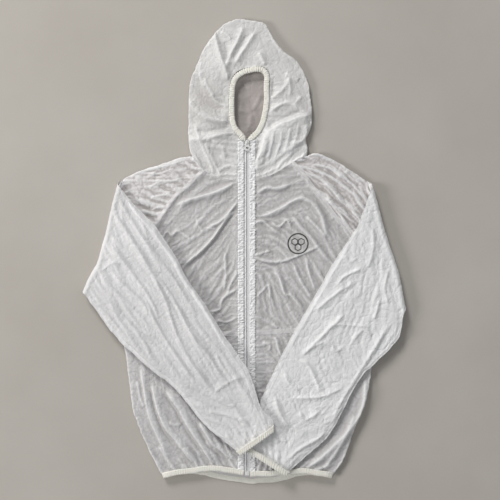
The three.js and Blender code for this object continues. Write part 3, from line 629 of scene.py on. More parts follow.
def add_ridges(P, rows):
    """Raised creases: each row is (height, half width, lean, plan points). A lean makes one flank steeper."""
    z = np.zeros(len(P))
    for amp, w, lean, pts in rows:
        line = resample(spline(G(*pts)), 4.0)
        near = (P[:, 0] > line[:, 0].min() - 5 * w) & (P[:, 0] < line[:, 0].max() + 5 * w) & (P[:, 1] > line[:, 1].min() - 5 * w) & (P[:, 1] < line[:, 1].max() + 5 * w)
        if not near.any():
            continue
        Q = P[near]
        d, t = dist_line(Q, line)
        g = np.gradient(line, axis=0)
        g /= np.linalg.norm(g, axis=1, keepdims=True)
        i = np.clip((t * (len(line) - 1)).astype(int), 0, len(line) - 1)
        side = np.sign((Q - line[i]) @ np.array([0, 1.0]) * g[i, 0] - (Q - line[i]) @ np.array([1.0, 0]) * g[i, 1])
        ww = w * np.where(side > 0, 1 + lean, 1 - lean)
        fade = sstep(np.minimum(t, 1 - t) / 0.16)
        prof = np.exp(-(d / ww) * 1.15) * (1 - 0.25 * np.exp(-(d / ww) ** 2 * 9))
        z[near] += amp * prof * fade
    return z

# ------------------------------------------------------------------ materials
def rgb(h):
    v = [int(h[i:i + 2], 16) / 255 for i in (0, 2, 4)]
    return tuple(c / 12.92 if c < 0.04045 else ((c + 0.055) / 1.055) ** 2.4 for c in v) + (1.0,)


class Nodes:
    def __init__(self, name):
        self.m = bpy.data.materials.new(name)
        self.m.use_nodes = True
        self.t = self.m.node_tree
        self.p = self.t.nodes["Principled BSDF"]

    def new(self, kind, **kw):
        n = self.t.nodes.new(kind)
        for k, v in kw.items():
            if k in n.inputs:
                n.inputs[k].default_value = v
            else:
                setattr(n, k, v)
        return n

    def link(self, a, b):
        self.t.links.new(a, b)

    def coords(self, scale=(1, 1, 1), rot=0.0):
        tc = self.new("ShaderNodeTexCoord")
        mp = self.new("ShaderNodeMapping")
        mp.inputs["Scale"].default_value = scale
        mp.inputs["Rotation"].default_value = (0, 0, rot)
        self.link(tc.outputs["Object"], mp.inputs["Vector"])
        return mp.outputs["Vector"]

    def noise(self, scale, detail=3.0, rough=0.55, vec=None, **kw):
        n = self.new("ShaderNodeTexNoise", **kw)
        n.inputs["Scale"].default_value = scale
        n.inputs["Detail"].default_value = detail
        n.inputs["Roughness"].default_value = rough
        self.link(vec if vec is not None else self.coords(), n.inputs["Vector"])
        return n.outputs["Fac"]

    def wave(self, scale, vec=None, distortion=0.0, direction="X"):
        n = self.new("ShaderNodeTexWave", wave_type="BANDS", bands_direction=direction)
        n.inputs["Scale"].default_value = scale
        n.inputs["Distortion"].default_value = distortion
        n.inputs["Detail"].default_value = 1.0
        self.link(vec if vec is not None else self.coords(), n.inputs["Vector"])
        return n.outputs["Fac"]

    def math(self, op, a, b=None, c=None):
        n = self.new("ShaderNodeMath", operation=op)
        for i, v in enumerate((a, b, c)):
            if v is None:
                continue
            if isinstance(v, (int, float)):
                n.inputs[i].default_value = v
            else:
                self.link(v, n.inputs[i])
        return n.outputs[0]

    def ramp(self, fac, *stops):
        n = self.new("ShaderNodeValToRGB")
        e = n.color_ramp.elements
        while len(e) < len(stops):
            e.new(0.5)
        for el, (pos, col) in zip(e, stops):
            el.position, el.color = pos, col if len(col) == 4 else (*col, 1)
        self.link(fac, n.inputs["Fac"])
        return n.outputs["Color"]

    def mix(self, fac, a, b):
        n = self.new("ShaderNodeMix", data_type="RGBA")
        for sock, v in ((n.inputs[0], fac), (n.inputs[6], a), (n.inputs[7], b)):
            if isinstance(v, (int, float)) or isinstance(v, tuple):
                sock.default_value = v
            else:
                self.link(v, sock)
        return n.outputs[2]

    def bump(self, height, distance, strength=1.0, normal=None):
        n = self.new("ShaderNodeBump")
        n.inputs["Strength"].default_value = strength
        n.inputs["Distance"].default_value = distance
        self.link(height, n.inputs["Height"])
        if normal is not None:
            self.link(normal, n.inputs["Normal"])
        return n.outputs["Normal"]


def nylon(name, light, dark, alpha, crinkle=1.0, shade=None, fold=0.0):
    """Thin plain-woven nylon with a soft sheen."""
    k = Nodes(name)
    cloud = k.noise(9.0, 4.0, 0.6)
    col = k.ramp(cloud, (0.30, rgb(dark)), (0.62, rgb(light)))
    if shade is not None:
        col = shade(k, col)
    if fold:
        # thin cloth looks whiter where it's gathered into a crease and greyer between; here that is painted in from the
        # fold height, as painted highlight on the crests and painted shade in the hollows, partly standing for cloth
        # lying double in a crease
        at = k.new("ShaderNodeAttribute")
        at.attribute_name = "fold_height"
        v = at.outputs["Fac"]
        # painted shade: the hollows are mixed towards grey
        col = k.mix(k.math("MULTIPLY", k.math("MAXIMUM", k.math("MULTIPLY", v, -1.0), 0.0), fold), col, rgb("8f8884"))
        # painted highlight: the crests are mixed towards white
        col = k.mix(k.math("MULTIPLY", k.math("MAXIMUM", v, 0.0), min(1.0, fold * 1.6)), col, rgb("ffffff"))
    grain = k.noise(420.0, 2.0, 0.6)
    col = k.mix(k.math("MULTIPLY", grain, 0.10), col, rgb("c9c9cb"))
    k.link(col, k.p.inputs["Base Color"])
    k.link(k.math("MULTIPLY_ADD", k.noise(60.0, 3.0), 0.22, 0.36), k.p.inputs["Roughness"])
    k.p.inputs["Sheen Weight"].default_value = 0.25
    k.p.inputs["Sheen Roughness"].default_value = 0.4
    k.p.inputs["Specular IOR Level"].default_value = 0.45
    if alpha < 1:
        k.p.inputs["Alpha"].default_value = alpha
    warp = k.wave(640.0, direction="X")
    weft = k.wave(640.0, direction="Y")
    b1 = k.bump(k.math("MULTIPLY", warp, weft), 0.00005, 0.35)
    vor = k.new("ShaderNodeTexVoronoi", feature="DISTANCE_TO_EDGE")
    vor.inputs["Scale"].default_value = 95.0
    dn = k.new("ShaderNodeTexNoise")
    dn.inputs["Scale"].default_value = 40.0
    k.link(k.coords(), dn.inputs["Vector"])
    addv = k.new("ShaderNodeVectorMath", operation="MULTIPLY_ADD")
    addv.inputs[1].default_value = (0.02, 0.02, 0.02)
    k.link(dn.outputs["Color"], addv.inputs[0])
    k.link(k.coords(), addv.inputs[2])
    k.link(addv.outputs[0], vor.inputs["Vector"])
    crease = k.math("MINIMUM", k.math("MULTIPLY", vor.outputs["Distance"], 3.0), 0.55)
    b2 = k.bump(k.math("ADD", crease, k.math("MULTIPLY", k.noise(130.0, 4.0, 0.6), 0.9)), 0.0006 * crinkle, 0.6, b1)
    k.link(b2, k.p.inputs["Normal"])
    return k.m


def torso_shade(k, col):
    """The part above the pockets is mixed towards grey, so the lower half, where the pocket bags lie behind it, is
    whiter.
    """
    tc = k.new("ShaderNodeTexCoord")
    sep = k.new("ShaderNodeSeparateXYZ")
    k.link(tc.outputs["Object"], sep.inputs[0])
    y = k.math("ADD", sep.outputs[1], k.math("MULTIPLY", k.math("SUBTRACT", k.noise(6.0, 2.0), 0.5), 0.012))
    low = k.math("SUBTRACT", 1.0, k.math("SMOOTH_MIN", 1.0, k.math("MAXIMUM", k.math("MULTIPLY_ADD", y, 160.0, 28.4), 0.0), 0.05))
    low = k.math("MAXIMUM", k.math("MINIMUM", low, 1.0), 0.0)
    col = k.mix(k.math("MULTIPLY", k.math("SUBTRACT", 1.0, low), 0.45), col, rgb("cdcbca"))
    return col


def patch(k, sep, cx, cy, rx, ry):
    """1 at a place on the cloth, fading smoothly around it. Sizes in metres."""
    a = k.math("MULTIPLY_ADD", sep.outputs[0], 1 / rx, -cx / rx)
    c = k.math("MULTIPLY_ADD", sep.outputs[1], 1 / ry, -cy / ry)
    return k.math("EXPONENT", k.math("MULTIPLY", k.math("ADD", k.math("MULTIPLY", a, a), k.math("MULTIPLY", c, c)), -1.0))


def hood_shade(k, col):
    """The collar is painted whiter, partly for the two layers that lie together there and partly as a painted
    highlight; one hollow beside the face opening is painted greyer, as painted shade.
    """
    tc = k.new("ShaderNodeTexCoord")
    sep = k.new("ShaderNodeSeparateXYZ")
    k.link(tc.outputs["Object"], sep.inputs[0])
    # painted shade in the hollow left of the face opening
    col = k.mix(k.math("MULTIPLY", patch(k, sep, -0.088, 0.322, 0.05, 0.045), 0.75), col, rgb("cdc9c5"))
    # whiter collar: partly the two layers lying together, partly a painted highlight in place of tilting the cloth
    # towards the light
    col = k.mix(k.math("MULTIPLY", patch(k, sep, 0.075, 0.222, 0.06, 0.06), 0.95), col, rgb("fbfbfa"))
    return col


# fold sets how strongly the crease heights are painted in, as painted highlight on crests and painted shade in hollows
NYLON = nylon("white_nylon", "f1f0f0", "e4e3e3", 0.93, 1.6)
# the left sleeve gets its own copy of the nylon, painted a little whiter than the right sleeve's: painted light,
# evening out how the lamps fall on it
NYLON_LEFT = nylon("white_nylon_left_sleeve", "fafafa", "f0f0f0", 0.93, 1.6)
NYLON_SINGLE = nylon("white_nylon_single", "eeeae9", "e0dbda", 0.90, 1.6, fold=0.55)
NYLON_HOOD = nylon("white_nylon_hood", "ecebe9", "dedddb", 0.93, 1.6, shade=hood_shade, fold=0.16)
NYLON_TORSO = nylon("white_nylon_front", "dedcdc", "d0cecd", 0.90, 1.6, shade=torso_shade, fold=0.3)
NYLON_IN = nylon("white_nylon_inside", "dedadb", "cec9ca", 1.0)
# the inside of the hood, seen through the face opening, is painted a much darker grey than the other nylon: painted
# shade of the hollow under the hood's front
NYLON_HOOD_IN = nylon("white_nylon_hood_inside", "bab2ae", "a09892", 1.0)
NYLON_SLEEVE_SEAM = nylon("white_nylon_sleeve_seam", "f4f3f3", "e9e8e8", 1.0)
NYLON_SEAM = nylon("white_nylon_seam", "fafafa", "f2f2f2", 1.0)
NYLON_RAGLAN = nylon("white_nylon_raglan_seam", "eeebea", "e2dfdf", 1.0)
NYLON_BAND = nylon("white_nylon_pocket_band", "e2e0df", "d6d4d4", 1.0)
NYLON_POCKET = nylon("pocket_nylon", "f2f2f4", "e4e4e8", 1.0)


def elastic():
    k = Nodes("ivory_elastic")
    col = k.ramp(k.noise(70.0, 3.0), (0.3, rgb("f0eee2")), (0.7, rgb("f8f6ed")))
    k.link(col, k.p.inputs["Base Color"])
    k.link(k.math("MULTIPLY_ADD", k.noise(200.0), 0.2, 0.62), k.p.inputs["Roughness"])
    k.p.inputs["Sheen Weight"].default_value = 0.3
    k.link(k.bump(k.math("ADD", k.wave(520.0, distortion=1.0), k.noise(900.0, 2.0)), 0.00015, 0.5), k.p.inputs["Normal"])
    return k.m


def woven_tape():
    k = Nodes("zip_tape_weave")
    col = k.ramp(k.noise(120.0, 3.0), (0.3, rgb("ebebed")), (0.7, rgb("f8f8f9")))
    k.link(col, k.p.inputs["Base Color"])
    k.link(k.math("MULTIPLY_ADD", k.noise(300.0), 0.2, 0.5), k.p.inputs["Roughness"])
    k.p.inputs["Sheen Weight"].default_value = 0.2
    k.link(k.bump(k.math("MULTIPLY", k.wave(260.0, direction="Y"), k.wave(420.0, direction="X")), 0.0002, 0.5), k.p.inputs["Normal"])
    return k.m


def plastic(name, a, b, rough, metal=0.0, bump=0.00003):
    k = Nodes(name)
    k.link(k.ramp(k.noise(150.0, 3.0), (0.35, rgb(b)), (0.65, rgb(a))), k.p.inputs["Base Color"])
    k.link(k.math("MULTIPLY_ADD", k.noise(500.0, 3.0), 0.14, rough), k.p.inputs["Roughness"])
    k.p.inputs["Metallic"].default_value = metal
    k.link(k.bump(k.noise(900.0, 2.0), bump, 0.4), k.p.inputs["Normal"])
    return k.m


ELASTIC, TAPE = elastic(), woven_tape()
COIL = plastic("zip_coil_nylon", "f6f6f6", "e9e9ea", 0.35)
ENAMEL = plastic("white_enamel", "f2f2f0", "dfdfdd", 0.22, 0.0)
THREAD = plastic("sewing_thread", "f7f7f7", "dedee0", 0.6, 0.0, 0.0001)
INK = plastic("print_ink", "3b3d3b", "4a4d4b", 0.7, 0.0, 0.00005)

# ------------------------------------------------------------------ the sheets
TOPS = []            # meshes that trims are draped on: (name, X, T)


def edge_fade(P, loop, w):
    b = np.vstack([np.vstack(loop), loop[0][:1]])
    return sstep(dist_line(P, b)[0] / w)


def fine(X, T, P, ang, seed, amp=1.0):
    """Small sharp crinkles along the surface normal."""
    N = normals(X, T)
    c = crumple(P[:, 0] / 13 + 0.5 * vnoise(P[:, 0] / 20, P[:, 1] / 20, seed), P[:, 1] / 13 + 0.5 * vnoise(P[:, 0] / 20, P[:, 1] / 20, seed + 9), seed)
    patchy = 0.35 + 0.65 * sstep(0.5 + 0.9 * vnoise(P[:, 0] / 55, P[:, 1] / 55, seed + 3))
    o = oriented(P, ang, seed + 1, 8.0, 3.4)
    w = vnoise(P[:, 0] / 30, P[:, 1] / 30, seed + 21)
    d = crumple(P[:, 0] / 26 + 0.6 * w, P[:, 1] / 26 - 0.6 * w, seed + 17)
    return X + N * (amp * patchy * (0.26 * (c - 0.5) + 0.34 * o) + amp * 0.9 * (np.minimum(d, 0.5) - 0.3))[:, None]


def mark_folds(ob, z, T):
    """Stores how far each point stands above (+) or below (-) the cloth around it, at two sizes of crease; the nylon
    materials paint shade and highlight from it.
    """
    E = np.unique(np.sort(np.vstack([T[:, [0, 1]], T[:, [1, 2]], T[:, [2, 0]]]), axis=1), axis=0)
    n = len(z)
    deg = np.bincount(E.ravel(), minlength=n).astype(float)
    s, keep = z.astype(float).copy(), []
    for i in range(40):
        a = np.bincount(E[:, 0], weights=s[E[:, 1]], minlength=n) + np.bincount(E[:, 1], weights=s[E[:, 0]], minlength=n)
        s = 0.4 * s + 0.6 * a / np.maximum(deg, 1)
        if i in (5, 39):
            keep.append(z - s)
    v = 0.5 * np.tanh(keep[0] / 0.22) + 0.5 * np.tanh(keep[1] / 0.9)
    at = ob.data.attributes.new("fold_height", "FLOAT", "POINT")
    at.data.foreach_set("value", v.astype(np.float32))


def cloth(name, loop, base_z, samples, ridges=(), amps=(2.4, 1.1, 0.4), waves=(46, 24, 12), excess=(0.0, 0.05), more=None, lo=None, hi=None, seed=1,
          fold=None, iters=260, stretch=3.0, fine_amp=1.0, material=None, extra=None, subdivide=True, edge_wave=0.35, ridge_amp=1.0, deep=lambda P: 8.6 + 0 * P[:, 0], streaks=()):
    m = triangulate(loop, H, seed)
    P, T = m["dom"], m["tri"]
    n, nb = len(P), m["nb"]
    bmask = np.zeros(n, bool)
    bmask[:nb] = True
    if fold:
        X, wrap, s_in = fold_map(P, *fold)
        zz = base_z(P)
        near = sstep(s_in / 22)
        X[:, 2] = np.where(wrap, X[:, 2] + 0, (fold[2] + fold[1]) * (1 - near) + zz * near)
        edge = bmask & ~wrap & (s_in > 3)
        X[edge, 2] = base_z(P[edge])
    else:
        X = np.column_stack([P, base_z(P)])
        wrap = np.zeros(n, bool)
    ang = field(P, samples)
    fade = edge_fade(P, loop, 11.0) * np.where(wrap, 0, 1)
    z = sum(a * oriented(P, ang, seed + 3 * i, w, stretch) for i, (a, w) in enumerate(zip(amps, waves)))
    if extra is not None:
        z = z + extra(P)
    X[:, 2] += (z + 0.35 * add_ridges(P, ridges)) * fade
    pin = bmask | wrap
    X[bmask & ~wrap, 2] += edge_wave * vnoise(P[bmask & ~wrap, 0] / 7, P[bmask & ~wrap, 1] / 7, seed)
    ea = np.full(n, excess[0])
    ec = np.full(n, excess[1])
    if more is not None:
        a2, c2 = more(P)
        ea, ec = ea + a2, ec + c2
    zl = lo(P) if lo is not None else X[:, 2] - 6
    zh = hi(P) if hi is not None else X[:, 2] + 12
    zl = np.where(pin, -9.0, zl)
    zh = np.where(pin, 90.0, zh)
    X = relax(X, T, P, (ang, ea, ec), pin, zl, zh, iters, bend=0.03, gravity=0.004, seed=seed)
    V = np.column_stack([X, P, wrap.astype(float)])
    if subdivide:
        V, T, bm, fx = loop_subdivide(V, T, bmask, bmask & False)
    X, P, wr = V[:, :3], V[:, 3:5], V[:, 5]
    ang = field(P, samples)
    # the sharp creases go on once the cloth has settled, so that they stay crisp
    add = add_ridges(P, ridges) * ridge_amp * edge_fade(P, loop, 8.0) * np.where(wr > 0.02, 0, 1)
    z0 = X[:, 2].copy()
    top = np.maximum(hi(P), z0) if hi is not None else z0 + 12
    low = np.minimum(np.maximum(z0 - 6, deep(P)), z0)
    room_up, room_dn = np.maximum(top - z0, 0.05), np.maximum(z0 - low, 0.05)
    add = np.where(add > 0, room_up * np.tanh(add / room_up), -room_dn * np.tanh(-add / room_dn))
    X[:, 2] += add
    for a_, w_, s_ in streaks:
        m_ = edge_fade(P, loop, 7.0) * np.where(wr > 0.02, 0, 1) * (0.55 + 0.45 * vnoise(P[:, 0] / 38, P[:, 1] / 38, seed + 71))
        X[:, 2] += a_ * m_ * (oriented(P, ang, seed + 60 + int(w_), w_, s_) - 0.1)
    X = fine(X, T, P, ang, seed + 40, fine_amp)
    ob = new_mesh(name, X, T, material or NYLON)
    mark_folds(ob, X[:, 2], T)
    return ob


sleeve_poly = {k: np.vstack([FOLD[k]["body"][::-1], L["sleeveIn" + k], L["sleeveOut" + k][::-1]]) for k in "RL"}
sleeve_ring = {k: np.vstack([sleeve_poly[k], sleeve_poly[k][:1]]) for k in "RL"}


def under_sleeves(P):
    """Signed distance to the folded sleeves in plan, negative underneath."""
    d = np.full(len(P), 1e9)
    for k in "RL":
        e = dist_line(P, sleeve_ring[k])[0]
        e = np.where(inside(P, sleeve_poly[k]), -e, e)
        d = np.minimum(d, e)
    return d


def front_hi(P):
    d = under_sleeves(P)
    dz = np.abs(P[:, 0] - ZX)
    h = 14.9 + np.clip((d - 1) * 0.45, 0, 6.5)
    return np.where(dz < 30, np.minimum(h, 12.7 + np.clip(dz - 17, 0, 20) * 0.5), h)


def front_lo(P):
    dz = np.abs(P[:, 0] - ZX)
    return np.minimum(front_z(P) - 0.3, 9.0 + 3.0 * sstep((44 - dz) / 26))


def gather_near(P, line, reach, along, across, power=1.0):
    d = dist_line(P, line)[0]
    f = np.exp(-d / reach) * power
    return along * f, across * f


# ---- fronts of the body
DIR_R = [(236, 190, 208), (215, 215, 222), (190, 235, 215), (232, 225, 230), (215, 262, 228), (236, 262, 262), (238, 300, 205), (236, 330, 200), (200, 300, 250),
         (142, 364, 275), (150, 400, 278), (160, 430, 294), (176, 410, 292), (196, 440, 302), (215, 440, 305), (235, 455, 300), (146, 440, 292), (170, 470, 285), (200, 470, 290), (236, 470, 275)]
DIR_L = [(256, 190, 10), (282, 205, 30), (262, 222, 0), (285, 236, -38), (310, 225, -55), (325, 240, -60), (262, 256, 12), (300, 265, -62), (282, 290, -60), (262, 290, -85), (310, 300, -60),
         (262, 340, 5), (285, 345, -70), (262, 380, 0), (300, 420, 240), (360, 400, 248), (350, 425, 240), (330, 450, 230), (305, 465, 222), (365, 380, 262), (345, 470, 235), (280, 470, 262)]
RIDGES_R = [
    (5.4, 6, 0.3, (237, 183.3, 224, 188.5, 212, 193.6, 192.5, 199.4, 174.1, 206.3)),
    (3.0, 3.6, -0.3, (238.4, 201.7, 228, 214.3, 217.8, 223.5, 206.3, 228)),
    (4.2, 3.6, -0.3, (237.3, 209.7, 227, 218.9, 218.9, 230.4, 214.3, 237.2, 201.7, 251, 181, 267.1)),
    (2.0, 2.6, 0, (206.3, 228, 216.6, 229.2)),
    (1.8, 3, 0, (172, 236, 178, 231, 186, 236, 192, 240)),
    (1.8, 3, 0, (160, 243, 167, 232, 174, 238)),
    (2.2, 3, 0, (238.4, 288.9, 223.5, 298, 218.9, 309.6, 206.3, 311.9)),
    (1.6, 2.6, 0, (238, 317, 226, 322, 216, 320)),
    (1.6, 3, 0, (196, 218, 199, 226, 204, 233)),
    (2.4, 3.4, 0, (239, 270, 232, 282, 226, 296)),
    (1.8, 3, 0, (225, 250, 226, 275, 224, 292)),
    (4.6, 7, 0.5, (141.8, 362, 146.4, 391.8, 151, 414.8, 157.9, 432, 171.7, 462)),
    (6.6, 8.5, 0.6, (153.5, 380, 156.6, 398.7, 160, 410.2, 166.9, 426.3, 176.1, 437.8, 186.4, 452.7, 195.5, 466)),
    (-3.4, 3, 0, (152.0, 388, 154.2, 402, 157.6, 414, 164.2, 430, 173.2, 442, 183, 457)),
    (7.4, 9, 0.6, (166, 388, 172, 397, 179.4, 406.8, 186.3, 420.5, 195.5, 435.5, 207, 452.7, 218.4, 467)),
    (-3.4, 3, 0, (163.5, 392, 169.4, 400, 176.4, 410, 183.3, 424, 192.5, 438.8, 203.4, 455)),
    (5.4, 8, 0.5, (199, 420, 211.8, 440.6, 222, 450, 236, 461)),
    (-3.0, 3, 0, (197, 428, 208, 445, 219, 456, 232, 466)),
    (4.0, 6, -0.3, (133, 404, 138, 424, 147, 444, 157, 458, 166, 470)),
    (2.6, 3.4, 0, (184, 446, 194, 458, 200, 468)), (2.4, 3.4, 0, (160, 444, 168, 458, 176, 469)), (2.2, 3.2, 0, (206, 440, 214, 452, 226, 462)),
    (2.4, 3.4, 0, (139, 380, 142, 396, 146, 408)), (2.0, 3.0, 0, (170, 421, 176, 424, 182, 424)),
]
RIDGES_L = [
    (3.0, 5, 0.2, (256, 193.6, 267.5, 187.9, 279, 189, 291, 184)),
    (3.6, 5, -0.2, (256, 217.7, 268.6, 214.3, 282.4, 207.4, 296.2, 199.4, 304.2, 198.2, 314.5, 205.1, 322.6, 218.9, 326, 232, 334, 243)),
    (3.0, 2.8, 0, (253.7, 223.5, 262.9, 221.2, 268.6, 225.8, 280, 234)),
    (2.4, 2.6, 0, (270.9, 221.2, 279, 226.9, 287, 220, 291.6, 229.2)),
    (2.2, 2.8, 0, (253.7, 255.6, 262, 253, 270.8, 250)),
    (2.6, 3.0, 0.5, (253.7, 256.8, 265.2, 261.4, 280.1, 261.9, 293.9, 257.6, 312.2, 249.9, 322, 244)),
    (2.2, 3.2, 0, (290, 213, 300, 226, 311, 238, 322, 252, 330, 263)),
    (2.6, 3.2, 0, (305.4, 215, 316, 226, 327, 238)),
    (2.6, 3, 0, (269.8, 271.7, 279, 276.3, 284.7, 293.5, 291.6, 295.8, 304.2, 310.7)),
    (2.0, 2.6, 0, (256, 298.1, 262, 291, 268.6, 285.5, 270, 300)),
    (2.6, 3.0, 0, (305.4, 256.8, 310, 276.3, 315.7, 292)),
    (2.6, 3.2, 0, (292.7, 263.7, 303, 284.3, 312, 300)),
    (1.6, 2.6, 0, (273, 323, 278, 328)),
    (2.0, 3, 0, (262, 341, 270, 346, 268, 352)),
    (1.8, 3, 0, (275, 336, 279, 350, 282, 357)),
    (6.0, 6, 0.3, (364, 376, 361.6, 403.3, 351.3, 424, 330.6, 446.9, 305.4, 470)),
    (4.8, 5, 0, (354, 412, 340, 442, 322, 470)),
    (3.4, 5, 0, (371, 378, 368, 400, 359, 422)),
    (4.0, 5, 0, (354, 440, 344, 458, 336, 474)),
]


def zip_pucker(P):
    dz = np.abs(P[:, 0] - ZX)
    f = np.exp(-np.clip(dz - 9, 0, 99) / 13)
    return f * 0.8 * ridge(P[:, 0] / 30, P[:, 1] / 5.6, 57, 1.2)


def torso_more(P):
    a, c = gather_near(P, np.vstack([HFR, HFL]), 70, 0.0, 0.05)
    dz = np.abs(P[:, 0] - ZX)
    return a + 0.006 * np.exp(-dz / 16), c + 0.006 * np.exp(-dz / 16)


FR = cloth("nylon_front_right", LOOPS["front_right"], front_z, DIR_R, RIDGES_R, more=torso_more, lo=front_lo, hi=front_hi, seed=11, amps=(0.9, 0.6, 0.5), excess=(0.0, 0.022), ridge_amp=1.5, streaks=((0.6, 13.0, 4.0), (0.35, 7.5, 4.5)), material=NYLON_TORSO, extra=zip_pucker)
FL = cloth("nylon_front_left", LOOPS["front_left"], front_z, DIR_L, RIDGES_L, more=torso_more, lo=front_lo, hi=front_hi, seed=23, amps=(0.9, 0.6, 0.5), excess=(0.0, 0.022), ridge_amp=1.5, streaks=((0.6, 13.0, 4.0), (0.35, 7.5, 4.5)), material=NYLON_TORSO, extra=zip_pucker)

# ---- shoulders
DIR_RR = [(190, 160, 12), (160, 180, 10), (130, 190, 4), (180, 185, 0), (160, 205, -8), (140, 215, -14), (175, 205, -10), (155, 232, -25)]
DIR_RL = [(300, 165, -22), (330, 165, -30), (360, 185, -38), (310, 190, -42), (340, 200, -40), (340, 225, -48), (350, 240, -55)]
RR_RIDGES = [(1.8, 2.6, 0, (190, 160, 165, 168, 140, 174)), (1.6, 2.4, 0, (184, 178, 172, 182, 160, 183, 148, 190)), (1.6, 2.4, 0, (175, 170, 160, 175, 146, 178)),
             (1.5, 2.2, 0, (172, 194, 160, 196, 150, 199)), (1.4, 2.2, 0, (166, 207, 157, 208, 150, 211)), (2.0, 2.6, 0, (188, 181, 196, 186, 188, 190))]
RL_RIDGES = [(2.4, 2.8, 0, (291, 162, 305, 172, 320, 180, 334, 193, 345, 206)), (2.2, 2.6, 0, (295, 165, 316, 172, 335, 181, 352, 194, 362, 202)),
             (2.0, 2.6, 0, (310, 165, 330, 170, 350, 184, 364, 200)), (2.0, 2.6, 0, (300, 178, 318, 192, 332, 206, 350, 228)), (1.8, 2.4, 0, (325, 196, 338, 210, 356, 224)),
             (2.6, 3.2, 0, (296, 160, 310, 156, 325, 158, 340, 165))]
SR = cloth("nylon_shoulder_right", LOOPS["raglan_right"], front_z, DIR_RR, RR_RIDGES, amps=(0.9, 1.3, 0.8), waves=(34, 17, 9), excess=(0.0, 0.06), lo=front_lo, hi=front_hi, seed=31, stretch=4.0, iters=220, material=NYLON_SINGLE, ridge_amp=1.25, streaks=((1.5, 13.0, 5.0), (1.1, 7.6, 5.5)))
SL = cloth("nylon_shoulder_left", LOOPS["raglan_left"], front_z, DIR_RL, RL_RIDGES, amps=(1.0, 1.3, 0.8), waves=(34, 17, 9), excess=(0.0, 0.06), lo=front_lo, hi=front_hi, seed=37, stretch=4.0, iters=220, material=NYLON_SINGLE, ridge_amp=1.7, streaks=((2.3, 13.0, 5.0), (1.5, 7.6, 5.5)))


# ---- hood
DIR_H = [(225, 60, 60), (205, 80, 70), (245, 40, 60), (270, 50, -45), (295, 75, -40), (300, 100, 10), (290, 118, 25), (310, 130, -50), (195, 110, -50), (210, 120, -45), (200, 145, -60),
         (225, 150, 20), (225, 172, 5), (215, 165, -20), (262, 150, 88), (285, 150, 60), (262, 172, 10), (230, 90, 80), (290, 165, 35)]
H_RIDGES = [
    (6.0, 6.0, -0.5, (215.5, 32, 216.7, 36.8, 219.6, 49.4, 223.6, 63.2, 227, 72.4, 228.8, 84)), (5.0, 4.6, 0, (243.6, 27, 243.1, 29.9, 237.4, 43.7, 230.5, 57.5, 226.5, 70.9)),
    (4.8, 4.6, 0, (255, 32, 253.4, 35.7, 246.6, 47.1, 239.7, 57.5, 235.2, 66)), (-2.6, 4.2, 0, (247, 36, 240, 50, 233, 62)), (-3.4, 5, 0, (226, 42, 228, 54, 230, 64)),
    (2.8, 2.8, 0, (221.5, 33.5, 227, 36, 232.6, 41.2)), (4.0, 4.0, 0, (258.2, 53.2, 261, 58, 265.3, 66.3)), (3.4, 5, 0, (283.6, 75, 290, 77, 297.9, 81.4)),
    (-6.5, 12, 0.35, (196, 74, 199, 88, 206, 99, 215, 106, 228, 110)), (6.4, 7.5, 0.3, (188.5, 98, 196, 109, 207.7, 118, 219, 121.5, 231.3, 122.4)),
    (3.0, 3.2, 0, (211.1, 93.8, 217.9, 102.2, 229, 107.8)), (2.6, 3.0, 0, (206, 78, 209, 88, 216, 98)),
    (5.0, 4.6, 0.2, (268.0, 114.2, 277.5, 106.8, 286.7, 103.4, 294.8, 106.8, 303.9, 112.5, 311.8, 117)), (3.4, 4.6, 0, (268, 99, 275, 96, 283, 89, 289, 79)),
    (7.4, 11, -0.65, (261.5, 139, 271.8, 129.5, 281, 124, 290.2, 120.5, 300.5, 116.5, 310.7, 117)), (-4.6, 5, 0, (266, 128.5, 277, 120.8, 288, 115.6, 300, 110)),
    (4.4, 5.5, -0.3, (305.8, 122, 305.1, 127.2, 303.9, 136.6, 294.8, 144.7, 283.3, 156.2)), (5.6, 6.5, 0.5, (265, 133, 262, 147, 257.7, 159.6, 253.6, 172)),
    (-3.4, 3.6, 0, (259.4, 140, 257.8, 150, 254.4, 160)),
    (2.2, 3, 0, (273, 131, 271, 146, 267, 162)), (2.2, 3, 0, (281, 129, 279, 144, 274, 160)), (2.0, 3, 0, (289, 127, 287, 140, 283, 154)), (1.8, 3, 0, (297, 124, 295, 136, 291, 148)),
    (1.8, 2.6, 0, (266, 141, 264, 153, 261, 166)), (3.8, 4.4, 0.2, (196.2, 122, 200.7, 138.9, 205.2, 150.4, 211, 164.2, 214.3, 176.5)), (4.6, 5.5, 0.2, (189.3, 139, 206.4, 140.1, 217.9, 136.6, 232.6, 133.8)),
    (-3.0, 4.5, 0, (196, 130, 208, 132, 220, 129.5, 231, 127)), (3.0, 3.6, 0, (206, 143, 210, 153, 216, 166, 222, 179)), (3.6, 4.4, 0, (216.9, 172, 228.2, 166.6, 240.7, 168.9)),
    (2.8, 3.2, 0, (214, 178.5, 226, 174.5, 240.5, 175.5)), (2.4, 3, 0, (222, 146, 231, 153, 240, 158)), (2.4, 3, 0, (219, 155, 229, 162, 240, 164)),
    (-2.8, 5, 0, (270.0, 77, 272.5, 90, 271, 99)), (2.6, 3.2, 0, (287.5, 77.3, 289, 88, 288.4, 97.3)), (3.0, 4.6, 0, (301, 96, 294, 104, 296, 112)), (3.0, 5, 0, (272, 30, 274, 44, 285, 56, 296, 62)),
    (2.8, 4, 0, (212, 140, 222, 147, 226, 160)), (2.2, 2.8, 0, (254, 178, 268, 172.5, 282, 165.5)), (2.6, 4, 0, (203, 62, 202, 76, 206, 90)),
]


def hood_hi(P):
    dz = np.abs(P[:, 0] - ZX)
    h = 20 + 9 * sstep((P[:, 1] - 200) / 60)
    return np.where((dz < 30) & (P[:, 1] < 242), np.minimum(h, 12.7 + np.clip(dz - 17, 0, 30) * 0.6), h)


